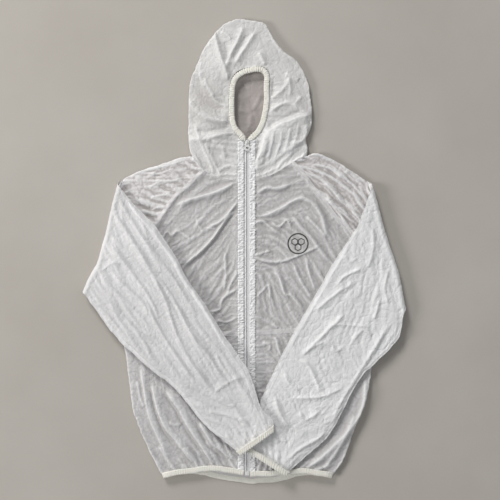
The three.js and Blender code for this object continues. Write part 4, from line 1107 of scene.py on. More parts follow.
def hood_lo(P):
    dz = np.abs(P[:, 0] - ZX) + 60 * (P[:, 1] > 244)
    return np.minimum(front_z(P) - 0.3, 9.0 + 3.0 * sstep((44 - dz) / 26))


def hood_more(P):
    a, c = gather_near(P, face_edge, 24, 0.03, 0.03)
    return a, c


HF = cloth("nylon_hood_front", LOOPS["hood_front"], front_z, DIR_H, H_RIDGES, amps=(1.5, 0.9, 0.5), waves=(52, 26, 12), excess=(0.0, 0.025), more=hood_more, lo=hood_lo, hi=hood_hi, seed=43, material=NYLON_HOOD, ridge_amp=1.2, streaks=((0.35, 12.0, 4.0),),
           extra=lambda P: zip_pucker(P) * (P[:, 1] < 245))


# ---- sleeves
def upper_z(k):
    cuff = np.array([L["sleeveIn" + k][-1], L["sleeveOut" + k][-1]])

    def z(P):
        d = np.minimum(dist_line(P, L["sleeveIn" + k])[0], dist_line(P, L["sleeveOut" + k])[0])
        dc = dist_line(P, cuff)[0]
        top = 22.2 + 2.6 * np.exp(-dc / 35)
        return 17.7 + (top - 17.7) * dome(d / 9) + sleeve_tilt(P, k)
    return z


def lower_z(k):
    cuff = np.array([L["sleeveIn" + k][-1], L["sleeveOut" + k][-1]])

    def z(P):
        dc = dist_line(P, cuff)[0]
        return 17.0 + 1.6 * np.exp(-dc / 25) + sleeve_tilt(P, k) + 0.25 * fbm(P[:, 0] / 40, P[:, 1] / 40, 7)
    return z


DIR_UR = [(115, 200, -66), (130, 240, -60), (110, 262, -50), (150, 250, -56), (175, 270, -54), (130, 300, -50), (160, 310, -56), (195, 320, -57), (175, 350, -50), (205, 360, -60), (150, 350, -42),
          (225, 385, -62), (200, 400, -35), (225, 410, -8), (250, 400, -62), (235, 430, -45), (215, 430, -20), (247, 440, -75), (240, 440, -50)]
RID_UR = [
    (3.0, 5, 0.3, (121, 190, 137, 212, 158, 238, 182, 268, 205, 308, 224, 342)),
    (-2.6, 3.4, 0, (117.9, 187.9, 131.7, 208, 151.5, 232.4, 177, 270.2)),
    (3.2, 4.6, -0.3, (113.3, 213.1, 125.9, 228, 139.7, 249.9, 151.2, 267.1, 167.2, 273)),
    (3.4, 4.6, -0.3, (128, 214, 142, 236, 160, 258, 182, 290, 200, 320)),
    (3.4, 4.4, -0.3, (106.4, 237.2, 123.6, 260.2, 139.7, 282, 153.5, 302.7, 160.4, 322.2)),
    (2.4, 3, 0, (101.8, 271.7, 114.4, 262.5, 123.6, 264.8)),
    (3.0, 4, -0.3, (114.4, 274, 128.2, 287.8, 144.3, 302.7, 150, 318)),
    (4.0, 4.6, -0.3, (144.3, 296, 160.4, 328.7, 177.6, 355.1, 194.8, 380.4)),
    (4.0, 4.6, -0.3, (150, 268, 166.1, 300, 176, 330, 190.3, 358.2, 206.3, 380.4, 214.3, 390.7)),
    (3.8, 4.2, -0.3, (175.3, 300, 194.8, 337.9, 208.6, 352.8, 217.8, 368.9, 229.2, 382)),
    (2.6, 4.6, 0, (103, 308, 128.2, 337.9, 148.9, 359.7, 168, 377)),
    (2.6, 4, 0, (125.9, 316, 144.3, 340.2, 153.5, 359.7)),
    (3.6, 4.4, 0.2, (214, 392, 224, 384, 236, 377, 246, 376)),
    (3.0, 4.4, 0, (206, 409, 221, 412, 236, 416, 252, 420)),
    (2.6, 3.4, 0, (192, 330, 201, 350, 212, 368)),
    (2.6, 3.2, 0, (215.5, 352, 223, 366, 232, 378)),
    (2.4, 3.2, 0, (205, 430, 222, 438, 236, 446)),
    (2.2, 3, 0, (243, 420, 246, 432, 244, 442)), (2.2, 3, 0, (255, 422, 256, 430, 252, 436)),
    (1.8, 3, 0, (222, 395, 226, 402, 236, 404)),
]
DIR_UL = [(368, 200, -100), (360, 240, -75), (385, 260, -78), (345, 280, -140), (370, 290, -100), (395, 300, -85), (330, 310, -125), (360, 330, -120), (390, 330, -100), (310, 345, -125),
          (340, 360, -60), (300, 365, -45), (315, 385, -65), (345, 388, 12), (285, 395, -60), (300, 415, -40), (320, 410, 40), (320, 435, 35), (300, 450, 35), (280, 440, -80), (290, 470, 250)]
RID_UL = [
    (2.6, 3.2, 0, (362.8, 267.1, 343.2, 277.4, 336, 287)), (2.4, 3, 0, (339, 283, 346, 287, 352, 281)), (2.8, 4, 0, (345, 286, 326, 301, 314, 312)),
    (2.4, 3.4, 0, (378.8, 299.2, 373.1, 319.9)), (3.2, 4, 0, (345.5, 312, 331, 326, 316.8, 340.2, 299.6, 357)),
    (-2.8, 3.0, 0, (393, 321.8, 385.6, 336, 374.1, 356, 363.5, 374, 351, 394, 334, 426)), (3.0, 4.0, 0, (389, 320, 381, 335, 369.5, 354, 358.5, 372, 346, 392, 330, 420)),
    (3.4, 3.6, 0.2, (298.5, 359.7, 307.7, 364.3, 315.7, 380.4, 320.3, 393)), (2.8, 3.4, 0, (289.3, 397, 305, 397, 322.6, 395.3, 344.4, 386.1)),
    (3.2, 3.8, 0, (274.4, 395, 280.1, 412, 289.3, 426.3)), (2.8, 3.4, 0, (298.5, 410.2, 305.4, 418.2, 319.1, 410.2)), (3.0, 4, 0, (328.3, 429.7, 314.5, 438.9, 298.5, 448.1, 284.7, 460)),
    (2.0, 3, 0, (343, 255, 349, 262, 357, 258)), (2.2, 3.2, 0, (352, 340, 362, 330, 372, 336)), (2.0, 3, 0, (325, 325, 338, 324, 352, 325, 372, 326)),
    (2.4, 3.4, 0, (310, 347, 326, 342, 336, 350, 344, 344)), (2.2, 3.2, 0, (284, 372, 290, 384, 300, 390)), (2.2, 3.4, 0, (361, 210, 356, 226, 350, 242)),
    (2.4, 3.4, 0, (372, 225, 372, 250, 366, 270)), (2.0, 3, 0, (388, 268, 384, 288, 388, 306)), (2.2, 3.2, 0, (345, 404, 336, 414, 330, 424)), (2.0, 3, 0, (271, 430, 276, 438, 288, 440)),
]


def upper_lo(k):
    def f(P):
        d = np.minimum(dist_line(P, L["sleeveIn" + k])[0], dist_line(P, L["sleeveOut" + k])[0])
        return 17.7 + sleeve_tilt(P, k) + np.clip(d * 0.05, 0, 0.8)
    return f


def upper_hi(k):
    def f(P):
        h = 29.0 + sleeve_tilt(P, k)
        if k == "L":
            e = dist_line(P, sleeve_ring["R"])[0]
            e = np.where(inside(P, sleeve_poly["R"]), -e, e)
            h = np.minimum(h, 24.6 + np.clip(e - 3, 0, 8) * 0.55)
        return h
    return f


def sleeve_more(k):
    cuff = np.array([L["sleeveIn" + k][-1], L["sleeveOut" + k][-1]])
    return lambda P: gather_near(P, cuff, 38, 0.0, 0.06)


UP = {}
for k, side, d, r, seed, st, am in (("R", "right", DIR_UR, RID_UR, 53, 4.2, (2.4, 1.4, 0.6)), ("L", "left", DIR_UL, RID_UL, 61, 2.2, (1.0, 0.6, 0.4))):
    UP[k] = cloth(f"nylon_sleeve_upper_{side}", LOOPS[f"upper_{k}"], upper_z(k), d, r, material=NYLON if k == "R" else NYLON_LEFT, amps=am, waves=(46, 24, 12), excess=(0.0, 0.04 if k == "R" else 0.012), more=sleeve_more(k), lo=upper_lo(k), hi=upper_hi(k),
                  ridge_amp=0.9 if k == "R" else 1.35, deep=lambda P, k=k: 18.3 + sleeve_tilt(P, k), streaks=((0.55, 11.0, 5.0),) if k == "R" else ((0.3, 12.0, 3.0),), fine_amp=1.0 if k == "R" else 1.6,
                  seed=seed, fold=(k, RO, ZO), stretch=st, iters=300)


# ---- layers that lie underneath
def plain(name, loop, base_z, h, seed, material, fold=None, amp=0.5, wave=40, ridges=(), keep_edge=True):
    m = triangulate([resample(l, h) for l in loop], h, seed)
    P, T = m["dom"], m["tri"]
    if fold:
        X, wrap, s_in = fold_map(P, *fold)
        near = sstep(s_in / 18)
        X[:, 2] = np.where(wrap, X[:, 2], (fold[2] + fold[1]) * (1 - near) + base_z(P) * near)
        far = (np.arange(len(P)) < m["nb"]) & ~wrap & (s_in > 3)
        X[far, 2] = base_z(P[far])
        f = np.where(wrap, 0, 1) * near
    else:
        X, f = np.column_stack([P, base_z(P)]), 1.0
    f = f * edge_fade(P, loop, 10)
    X[:, 2] += f * (amp * (fbm(P[:, 0] / wave, P[:, 1] / wave, seed) + 0.5 * ridge(P[:, 0] / wave * 2, P[:, 1] / wave * 2, seed + 4)) + add_ridges(P, ridges))
    ob = new_mesh(name, X, T, material)
    return ob


LOW = {}
for k, side, seed in (("R", "right", 71), ("L", "left", 73)):
    LOW[k] = plain(f"nylon_sleeve_lower_{side}", LOOPS[f"lower_{k}"], lower_z(k), H * 1.6, seed, NYLON, fold=(k, RI, ZI), amp=0.7)
BACK = plain("nylon_back", LOOPS["back"], back_z, 5.0, 81, NYLON_IN, amp=0.4, wave=34)
BSH = {k: plain(f"nylon_shoulder_back_{side}", [l for l in LOOPS[f"raglan_{side}"]], back_z, 5.0, 83, NYLON_IN, amp=0.3) for k, side in (("R", "right"), ("L", "left"))}
HB_RIDGES = [(2.6, 3.4, 0, (236, 92, 246, 103, 252, 112)), (2.6, 3.4, 0, (262, 92, 257, 102, 252, 112)), (2.6, 3.4, 0, (252, 112, 250, 124, 246, 134)), (2.2, 3.0, 0, (252, 112, 262, 118, 266, 126)),
             (2.2, 3.0, 0, (237, 110, 245, 111, 252, 112)), (1.8, 4, 0, (245, 80, 250, 90, 258, 96))]
HBACK = plain("nylon_hood_back", LOOPS["hood_back"], back_z, 4.0, 87, NYLON_HOOD_IN, amp=0.9, wave=30, ridges=HB_RIDGES)


def pocket_loop(k):
    top = resample(spline(C["pocket" + k]), 5.0)
    side = L["side" + k]
    if k == "R":
        a, b = ZX - 17.5, None
        top = top[top[:, 0] < a]
        top = np.vstack([[a, top[0, 1]], top])                      # zip to side
        lo_ = HFR + (0, 3)
        lo_ = lo_[lo_[:, 0] < a]
        lo_ = np.vstack([lo_, [a, lo_[-1, 1]]])                     # side to zip
        edge = side[(side[:, 1] < top[-1, 1] - 4) & (side[:, 1] > lo_[0, 1] + 4)] + (5.0, 0)
        top = top[top[:, 0] > edge[0, 0] + 3]
        lo_ = lo_[lo_[:, 0] > edge[-1, 0] + 3]
        e = np.vstack([top[-1], edge, lo_[0]])
        return [top, e, lo_, straight(lo_[-1], top[0])]
    a = ZX + 17.5
    top = top[top[:, 0] > a]
    top = np.vstack([[a, top[0, 1]], top])                          # zip to side
    lo_ = (HFL + (0, 3))[::-1]
    lo_ = lo_[lo_[:, 0] > a]
    lo_ = np.vstack([lo_, [a, lo_[-1, 1]]])                         # side to zip
    edge = side[(side[:, 1] < top[-1, 1] - 4) & (side[:, 1] > lo_[0, 1] + 4)] - (5.0, 0)
    top = top[top[:, 0] < edge[0, 0] - 3]
    lo_ = lo_[lo_[:, 0] < edge[-1, 0] - 3]
    e = np.vstack([top[-1], edge, lo_[0]])
    return [top, e, lo_, straight(lo_[-1], top[0])]


def pocket_z(P):
    d = np.minimum(dist_line(P, L["sideR"])[0], dist_line(P, L["sideL"])[0])
    return 3.0 + 3.6 * dome((d - 4) / 14) + 0.4 * fbm(P[:, 0] / 40, P[:, 1] / 40, 17)


PB = {k: plain(f"nylon_pocket_{side}", pocket_loop(k), pocket_z, 6.0, 97, NYLON_POCKET, amp=0.2) for k, side in (("R", "right"), ("L", "left"))}

# ------------------------------------------------------------------ trims
def tree(*obs):
    V, F, n = [], [], 0
    for o in obs:
        co = np.empty(len(o.data.vertices) * 3, np.float32)
        o.data.vertices.foreach_get("co", co)
        lp = np.empty(len(o.data.loops), np.int32)
        o.data.loops.foreach_get("vertex_index", lp)
        V.append(co.reshape(-1, 3))
        k = len(lp) // len(o.data.polygons)
        F.append(lp.reshape(-1, k) + n)
        n += len(co) // 3
    faces = [tuple(int(i) for i in f) for A in F for f in A]
    return BVHTree.FromPolygons([tuple(v) for v in np.vstack(V).astype(float)], faces)


def drop(bvh, P, default=12.5):
    """Height of the cloth under each plan point (mm)."""
    z = np.full(len(P), default)
    down = Vector((0, 0, -1))
    for i, (x, y) in enumerate(P[:, :2] * MM):
        hit = bvh.ray_cast(Vector((x, y, 0.08)), down)
        if hit[0] is not None:
            z[i] = hit[0].z / MM
    return z


def smooth_rows(A, n=1):
    for _ in range(n):
        B = A.copy()
        B[1:-1] = 0.25 * A[:-2] + 0.5 * A[1:-1] + 0.25 * A[2:]
        A = B
    return A


def grid_faces(nu, nv, closed_u=False, closed_v=False, base=0):
    u = np.arange(nu if closed_u else nu - 1)
    v = np.arange(nv if closed_v else nv - 1)
    U, W = np.meshgrid(u, v, indexing="ij")
    a = U * nv + W
    b = ((U + 1) % nu) * nv + W
    c = ((U + 1) % nu) * nv + (W + 1) % nv
    d = U * nv + (W + 1) % nv
    return np.stack([a, b, c, d], -1).reshape(-1, 4) + base


def frame2(line):
    g = np.gradient(line, axis=0)
    g /= np.maximum(np.linalg.norm(g, axis=1, keepdims=True), 1e-9)
    return np.stack([-g[:, 1], g[:, 0]], 1)


def strip_on(name, bvh, line, a, b, lift, material, nx=7, step=1.6, soft=1, wave=0.0, seed=3, sink=0.25, taper=0.0):
    """A strip sewn on top of the cloth, from a to b to the left of the line, following every crease beneath it."""
    ln = resample(line, step)
    n = frame2(ln)
    t = np.linspace(0, 1, nx)
    grow = np.clip(np.arange(len(ln)) * step / taper, 0.04, 1) ** 0.6 if taper else np.ones(len(ln))
    P = ln[:, None] + n[:, None] * (a + (b - a) * t[None, :] * grow[:, None])[..., None]
    z = drop(bvh, P.reshape(-1, 2)).reshape(len(ln), nx)
    z = smooth_rows(z, soft)
    prof = np.clip(np.minimum(t, 1 - t) * nx * 0.8, 0, 1) ** 0.5
    z = z + lift * prof[None] - sink * (1 - prof)[None]
    if wave:
        s = np.arange(len(ln))[:, None] * step
        z = z + wave * prof[None] * (0.5 + 0.5 * vnoise(s / 2.7 + t[None] * 1.5, t[None] * 2 + 0 * s, seed))
    V = np.concatenate([P, z[..., None]], 2).reshape(-1, 3)
    return new_mesh(name, V, grid_faces(len(ln), nx), material)


def band(name, line, z, width, thick, material, rib=4.4, depth=0.35, scallop=0.35, step=1.0, seed=1, bulge=0.5, closed=False, pucker=0.0, nx=9):
    """An elastic binding: a closed, ribbed, slightly rounded band centred on the line."""
    ln = resample(np.column_stack([line, np.broadcast_to(z, (len(line),))]), step)
    zc, ln = ln[:, 2], ln[:, :2]
    n = frame2(ln)
    s = np.arange(len(ln)) * step
    ph = 2 * math.pi * s / rib + 1.6 * vnoise(s / 13, s * 0, seed)
    r = 0.5 + 0.5 * np.sin(ph)
    irregular = 0.75 + 0.5 * vnoise(s / 8, s * 0 + 4, seed + 2)
    half = width / 2 + scallop * (r - 0.5) * irregular
    t = np.linspace(-1, 1, nx)
    rows = []
    for sgn in (1, -1):
        prof = (1 - np.abs(t) ** 3)
        zz = zc[:, None] + sgn * (thick / 2 * (0.35 + 0.65 * prof)[None]) + (bulge * prof)[None] * (1 if sgn > 0 else 0.6)
        slant = 0.9 * vnoise(s / 9, s * 0 + 8, seed + 5)
        rr = 0.5 + 0.5 * np.sin(ph[:, None] + slant[:, None] * t[None])
        zz = zz + depth * (rr - 0.5) * irregular[:, None] * (0.4 + 0.6 * prof[None])
        zz = zz + pucker * (vnoise(s[:, None] / 2.6 + t[None] * 0.6, t[None] * 1.4 + 0 * s[:, None], seed + 9)) * (0.55 + 0.45 * np.abs(t[None]))
        P = ln[:, None] + n[:, None] * (half[:, None] * t[None])[..., None]
        rows.append(np.concatenate([P, zz[..., None]], 2))
    ring = np.concatenate([rows[0], rows[1][:, ::-1]], 1)
    nv = ring.shape[1]
    F = grid_faces(len(ln), nv, closed_u=closed, closed_v=True)
    V = ring.reshape(-1, 3)
    faces = [tuple(int(x) for x in f) for f in F]
    if not closed:
        faces.append(tuple(range(nv)))
        faces.append(tuple(range(len(V) - 1, len(V) - nv - 1, -1)))
    return new_mesh(name, V, faces, material)


def stitch_mesh(rows):
    """Small thread stitches; rows is a list of (points N x 3, directions N x 3)."""
    V, F = [], []
    n = 0
    for pts, dirs in rows:
        for p, d in zip(pts, dirs):
            side = np.array([-d[1], d[0], 0.0])
            side /= max(np.linalg.norm(side), 1e-9)
            up = np.array([0, 0, 1.0])
            for x, r, h in ((-1.15, 0.10, -0.12), (-0.7, 0.26, 0.16), (0.7, 0.26, 0.16), (1.15, 0.10, -0.12)):
                c = p + d * x + up * h
                for q in ((1, -0.5), (0.7, 0.6), (-0.7, 0.6), (-1, -0.5)):
                    V.append(c + side * r * q[0] + up * r * q[1])
            for i in range(3):
                for j in range(3):
                    a = n + i * 4 + j
                    F.append((a, a + 4, a + 5, a + 1))
            F.append((n, n + 1, n + 2, n + 3))
            F.append((n + 15, n + 14, n + 13, n + 12))
            n += 16
    return np.array(V), F


def stitch_row(bvh, line, off, pitch=3.3, lift=0.12):
    ln = resample(line, pitch)
    nn = frame2(ln)
    P = ln + nn * off
    z = drop(bvh, P)
    X = np.column_stack([P, z + lift])
    g = np.gradient(X, axis=0)
    g /= np.maximum(np.linalg.norm(g, axis=1, keepdims=True), 1e-9)
    return X[1:-1], g[1:-1]


TORSO_TOP = tree(FR, FL, SR, SL, HF)
ymin, ymax = -480.0, 241.5

# zip tapes: fine woven bands, raised over the coil beneath
TAPES = {}
for side, s in (("right", -1), ("left", 1)):
    xs = np.array([0.75, 0.95, 1.5, 2.4, 3.1, 3.5, 4.1, 4.7, 5.3, 5.9, 6.6, 8.0, 11.0, 14.0, 17.0])
    zs = np.array([11.3, 11.75, 12.0, 12.02, 11.9, 11.7, 11.78, 11.68, 11.78, 11.68, 11.7, 11.7, 11.7, 11.7, 11.55])
    ys = np.arange(ymin, ymax, 1.6)
    Y, XX = np.meshgrid(ys, xs, indexing="ij")
    ZZ = np.broadcast_to(zs, Y.shape) + 0.03 * np.sin(Y * 2 * math.pi / 3.2) * (XX < 7) + 0.10 * vnoise(Y / 30, XX * 0, 5)
    top = np.stack([ZX + s * XX, Y, ZZ], -1)
    low = np.stack([ZX + s * XX[:, ::-1], Y, np.full_like(Y, 11.15)], -1)
    ring = np.concatenate([top, low], 1)
    nv = ring.shape[1]
    F = [tuple(int(i) for i in f) for f in grid_faces(len(ys), nv, closed_v=True)]
    F += [tuple(range(nv)), tuple(range(len(ys) * nv - 1, len(ys) * nv - nv - 1, -1))]
    TAPES[side] = new_mesh(f"woven_tape_{side}", ring.reshape(-1, 3), F, TAPE)

# gathered plackets beside the tapes
def y_on(line, x):
    o = np.argsort(line[:, 0])
    return float(np.interp(x, line[o, 0], line[o, 1]))


PLACKET = {}
for side, s, hem in (("right", -1, HFR), ("left", 1, HFL)):
    x = ZX + s * (13.0 if side == "right" else 12.2)
    ln = np.array([[x, y_on(hem, x) + 8.0], [x, 241.0]])
    ln = resample(ln, 4.0)
    ln = wavy(ln, 7 + s, 0.35, 19)
    PLACKET[side] = band(f"gathered_placket_{side}", ln, 12.8, 13.0 if side == "right" else 12.0, 0.7, NYLON_SEAM, rib=5.2, depth=0.5, scallop=1.5, step=0.8, seed=15 + s, bulge=0.15, pucker=1.5, nx=11)

# elastic bindings
HEM = {}
for side, key in (("right", "hemFrontR"), ("left", "hemFrontL")):
    ln = (cut_x(L[key], ZX + (-1 if side == "right" else 1) * 6.6)) + (0, 6.0)
    d = np.minimum(np.linalg.norm(ln - ln[0], axis=1), np.linalg.norm(ln - ln[-1], axis=1))
    sidepoint = L["sideR"][-1] if side == "right" else L["sideL"][-1]
    dz = dome((np.linalg.norm(ln - sidepoint, axis=1) - 2) / 16)
    HEM[side] = band(f"elastic_hem_{side}", ln, 4.2 + 8.8 * dz, 12.2, 1.5, ELASTIC, rib=4.8, depth=0.45, scallop=0.45, seed=21, bulge=0.5)
HEM["back"] = band("elastic_hem_back", L["hemBack"] + (0, 6.2), 0.95, 12.2, 1.2, ELASTIC, rib=4.8, depth=0.3, scallop=0.45, seed=25, bulge=0.25)

fin, fout = resample(spline(C["faceIn"]), 4), resample(spline(C["faceOut"]), 4)
t = np.linspace(0, 1, 90)
arc = lambda c: np.stack([np.interp(t, np.linspace(0, 1, len(c)), c[:, j]) for j in (0, 1)], 1)
mid = 0.5 * (arc(fin) + arc(fout))
mid = np.vstack([[ZX - 9.0, 238.5], [ZX - 8.5, 243.0], mid[4:-4], [ZX + 9.5, 243.0], [ZX + 10.0, 238.5]])
mid = resample(spline(mid, 4), 3.0)
mid = wavy(mid, 77, 0.7, 16)
fz = 14.3 + 0.8 * vnoise(np.arange(len(mid)) / 7, np.zeros(len(mid)), 5) - 0.9 * np.exp(-np.minimum(np.arange(len(mid)), np.arange(len(mid))[::-1]) / 4)
def under_tab(ob):
    """Presses a piece down a little where the pull tab lies when it's swung up over the hood."""
    n = len(ob.data.vertices)
    co = np.zeros(n * 3)
    ob.data.vertices.foreach_get("co", co)
    co = co.reshape(-1, 3) / MM
    dx, dy = np.abs(co[:, 0] - ZX), co[:, 1] - 232.75
    cap = 14.9 + dy * math.tan(math.radians(10)) - 1.15 + 1.2 * np.clip(dx - 7.3, 0, 99)
    cap = np.where((dy > 0) & (dy < 19), cap, 99)
    co[:, 2] = np.minimum(co[:, 2], cap)
    ob.data.vertices.foreach_set("co", (co * MM).ravel())
    ob.data.update()


FACE = band("elastic_face_edge", mid, fz, 11.6, 1.5, ELASTIC, rib=4.6, depth=0.9, scallop=1.5, seed=31, bulge=0.7, pucker=0.6)


def cuff_ring(name, k, seed):
    a, b, c, d = C["cuff" + k]
    out0, out1, in0, in1 = a, b, d, c
    rows, nphi = np.linspace(0, 1, 11), 216
    full = np.linspace(0, 2 * math.pi, 4001)
    wide = np.linalg.norm(b - a)
    shape = np.stack([np.sign(np.cos(full)) * np.abs(np.cos(full)) ** 0.55 * (wide / 2 + 0.6), np.sign(np.sin(full)) * np.abs(np.sin(full)) ** 0.75 * 3.9], 1)
    run = np.concatenate([[0], np.cumsum(np.linalg.norm(np.diff(shape, axis=0), axis=1))])
    phi = np.interp(np.linspace(0, run[-1], nphi, endpoint=False), run, full)
    V = []
    tz = float(sleeve_tilt(((a + b) / 2)[None], k)[0])
    for shell in (0, 1):
        for t_ in (rows if shell == 0 else rows[::-1]):
            p0, p1 = out0 + (in0 - out0) * t_, out1 + (in1 - out1) * t_
            w = np.linalg.norm(p1 - p0)
            u = (p1 - p0) / w
            cx, cz = (p0 + p1) / 2, 22.5 + tz
            cs, sn = np.cos(phi), np.sin(phi)
            ex = np.sign(cs) * np.abs(cs) ** 0.55 * (w / 2 + 0.6)
            ez = np.sign(sn) * np.abs(sn) ** 0.75 * 3.9
            arc_s = (ex + w / 2)
            r = 0.5 + 0.5 * np.sin(2 * math.pi * arc_s / 5.4 + 1.8 * vnoise(arc_s / 11, np.full(nphi, t_ * 1.2), seed))
            rad = 0.95 * r * (0.7 + 0.5 * vnoise(arc_s / 9, np.full(nphi, 2.5), seed + 8)) * (1 - 0.2 * abs(2 * t_ - 1)) + 0.35 * (1 - abs(2 * t_ - 1) ** 3) - (0.9 if shell else 0)
            nz = np.sign(sn) * np.abs(sn) ** 0.6
            nx_ = np.sign(cs) * np.abs(cs) ** 3
            dx = 1.3 * (0.5 - r) * (1 if t_ in (0, 1) else 0.4)
            X = cx[None] + u[None] * (ex + nx_ * rad)[:, None] + ((in0 - out0) / np.linalg.norm(in0 - out0))[None] * dx[:, None]
            V.append(np.column_stack([X, cz + ez + nz * rad]))
    V = np.array(V)
    F = grid_faces(V.shape[0], nphi, closed_u=True, closed_v=True)
    return new_mesh(name, V.reshape(-1, 3), F, ELASTIC)


CUFF = {"R": cuff_ring("elastic_cuff_right", "R", 41), "L": cuff_ring("elastic_cuff_left", "L", 43)}

under_tab(FACE)

# seam allowances and the hems of the pocket bags, pressed through the cloth
seam_strips = []
for k, s in (("R", -1), ("L", 1)):
    ln = L["raglan" + k]
    seam_strips.append(strip_on(f"raglan_seam_{'right' if k == 'R' else 'left'}", TORSO_TOP, ln, -0.5 if s < 0 else 0.5, -8.5 if s < 0 else 8.5, 0.4, NYLON_RAGLAN, nx=8))
SLEEVE_SEAM = {}
for k, side in (("R", "right"), ("L", "left")):
    tr = tree(UP[k])
    for where, key, s in (("inner", "sleeveIn", -1 if k == "R" else 1), ("outer", "sleeveOut", 1 if k == "R" else -1)):
        ln = L[key + k]
        far = np.linalg.norm(ln - ln[0], axis=1) > 34
        ln = ln[far][:-3]
        SLEEVE_SEAM[k, where] = strip_on(f"sleeve_seam_{where}_{side}", tr, ln, s * 3.0, s * (12.6 if where == "inner" else 8.0), 0.42, NYLON_SLEEVE_SEAM, nx=8, taper=16.0)
pocket_bands = []
for k in "RL":
    ln = resample(spline(C["pocket" + k]), 4.0)
    ln = ln[np.abs(ln[:, 0] - ZX) > 18.5]
    ln = ln[(ln[:, 0] > -235) & (ln[:, 0] < 262)]
    s = -1 if ln[-1, 0] > ln[0, 0] else 1
    pocket_bands.append(strip_on(f"pocket_hem_{'right' if k == 'R' else 'left'}", TORSO_TOP, ln, 0.0, s * 12.0, 0.35, NYLON_BAND, nx=9))

# rows of stitches
PL_TREE = tree(PLACKET["right"], PLACKET["left"], FR, FL, HF)
rows_t = []
for s in (-1, 1):
    for off in (7.8, 16.2):
        x = ZX + s * off
        rows_t.append(stitch_row(PL_TREE, np.array([[x, -466.0], [x, 238.0]]), 0.0, 3.4))
for k, s in (("R", -1), ("L", 1)):
    tr = tree(seam_strips[0 if k == "R" else 1], SR if k == "R" else SL)
    rows_t.append(stitch_row(tr, L["raglan" + k], s * 1.6))
    rows_t.append(stitch_row(tr, L["raglan" + k], s * 7.4))
    ln = NFR if k == "R" else NFL
    rows_t.append(stitch_row(TORSO_TOP, ln, 2.2))
for ob in pocket_bands:
    pass
for k in "RL":
    ln = resample(spline(C["pocket" + k]), 4.0)
    ln = ln[(np.abs(ln[:, 0] - ZX) > 18.5) & (ln[:, 0] > -235) & (ln[:, 0] < 262)]
    s = -1 if ln[-1, 0] > ln[0, 0] else 1
    rows_t.append(stitch_row(tree(*pocket_bands), ln, s * 10.2))
HEM_TREE = tree(HEM["right"], HEM["left"])
for key, side in (("hemFrontR", "right"), ("hemFrontL", "left")):
    ln = cut_x(L[key], ZX + (-1 if side == "right" else 1) * 8)
    for off in (9.6, 2.6):
        rows_t.append(stitch_row(HEM_TREE, ln + (0, off), 0.0, 3.2))
V_, F_ = stitch_mesh(rows_t)
STITCH = new_mesh("stitch_rows", V_, F_, THREAD, smooth=False)

FACE_TREE = tree(FACE)
V_, F_ = stitch_mesh([stitch_row(FACE_TREE, mid, off, 3.2) for off in (-4.0, 4.0)])
STITCH_FACE = new_mesh("stitch_face_edge", V_, F_, THREAD, smooth=False)
under_tab(STITCH_FACE)
STITCH_CUFF = {}
for k, side in (("R", "right"), ("L", "left")):
    a, b, c, d = C["cuff" + k]
    tr = tree(CUFF[k])
    rr = []
    for t_ in (0.2, 0.8):
        p, q = a + (d - a) * t_, b + (c - b) * t_
        rr.append(stitch_row(tr, np.array([p + (q - p) * 0.03, q - (q - p) * 0.03]), 0.0, 3.2))
    V_, F_ = stitch_mesh(rr)
    STITCH_CUFF[k] = new_mesh(f"stitch_cuff_{side}", V_, F_, THREAD, smooth=False)

# round chest print: a thin ring round three small cells
BX, BY = 117.0 + SHIFT[0], 16.2 + SHIFT[1]
CHEST = tree(FL)


def ring_print(cx, cy, radius, width, sides, turn=0.0, per=12):
    """A closed printed line on the cloth: inner and outer edge, as a flat strip of quads."""
    n = sides * per if sides > 2 else 120
    ph = np.linspace(0, 2 * math.pi, n, endpoint=False)
    if sides > 2:
        k = (ph % (2 * math.pi / sides)) - math.pi / sides
        rr = math.cos(math.pi / sides) / np.cos(k)
    else:
        rr = np.ones(n)
    V = []
    for j in (-0.5, 0.0, 0.5):
        r = (radius + width * j) * rr
        P = np.column_stack([cx + r * np.cos(ph + turn), cy + r * np.sin(ph + turn)])
        V.append(np.column_stack([P, drop(CHEST, P) + (0.16 if j == 0 else 0.09)]))
    V = np.array(V)
    return V.reshape(-1, 3), grid_faces(3, n, closed_v=True)


parts_v, parts_f, n0 = [], [], 0
for spec in ((BX, BY, 21.4, 2.9, 0), (BX - 7.0, BY + 4.2, 7.2, 2.2, 6, math.pi / 6), (BX + 7.0, BY + 4.2, 7.2, 2.2, 6, math.pi / 6), (BX, BY - 7.9, 7.2, 2.2, 6, math.pi / 6)):
    v, f = ring_print(*spec)
    parts_v.append(v)
    parts_f.append(f + n0)
    n0 += len(v)
BADGE = new_mesh("chest_print", np.vstack(parts_v), np.vstack(parts_f), INK)


for ob in (FR, FL, SR, SL, BACK, *BSH.values(), *PB.values(), *TAPES.values(), *PLACKET.values(), *HEM.values(), *seam_strips, *pocket_bands, STITCH, BADGE):
    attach(ob, "torso")
for k, side in (("R", "right"), ("L", "left")):
    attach(CUFF[k], f"{side}_sleeve")
    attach(STITCH_CUFF[k], f"{side}_sleeve")
    for where in ("inner", "outer"):
        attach(SLEEVE_SEAM[k, where], f"{side}_sleeve")
    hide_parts(f"{side}_cuff_binding")
    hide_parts(f"zip_tape_{side}")
    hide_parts(f"hem_binding_front_{side}")
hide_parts("hem_binding_back")
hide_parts("hood_face_binding")
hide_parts("chest_badge")
for ob in (HF, HBACK, FACE, STITCH_FACE):
    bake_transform(ob)
for k, side in (("R", "right"), ("L", "left")):
    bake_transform(UP[k])
    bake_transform(LOW[k])

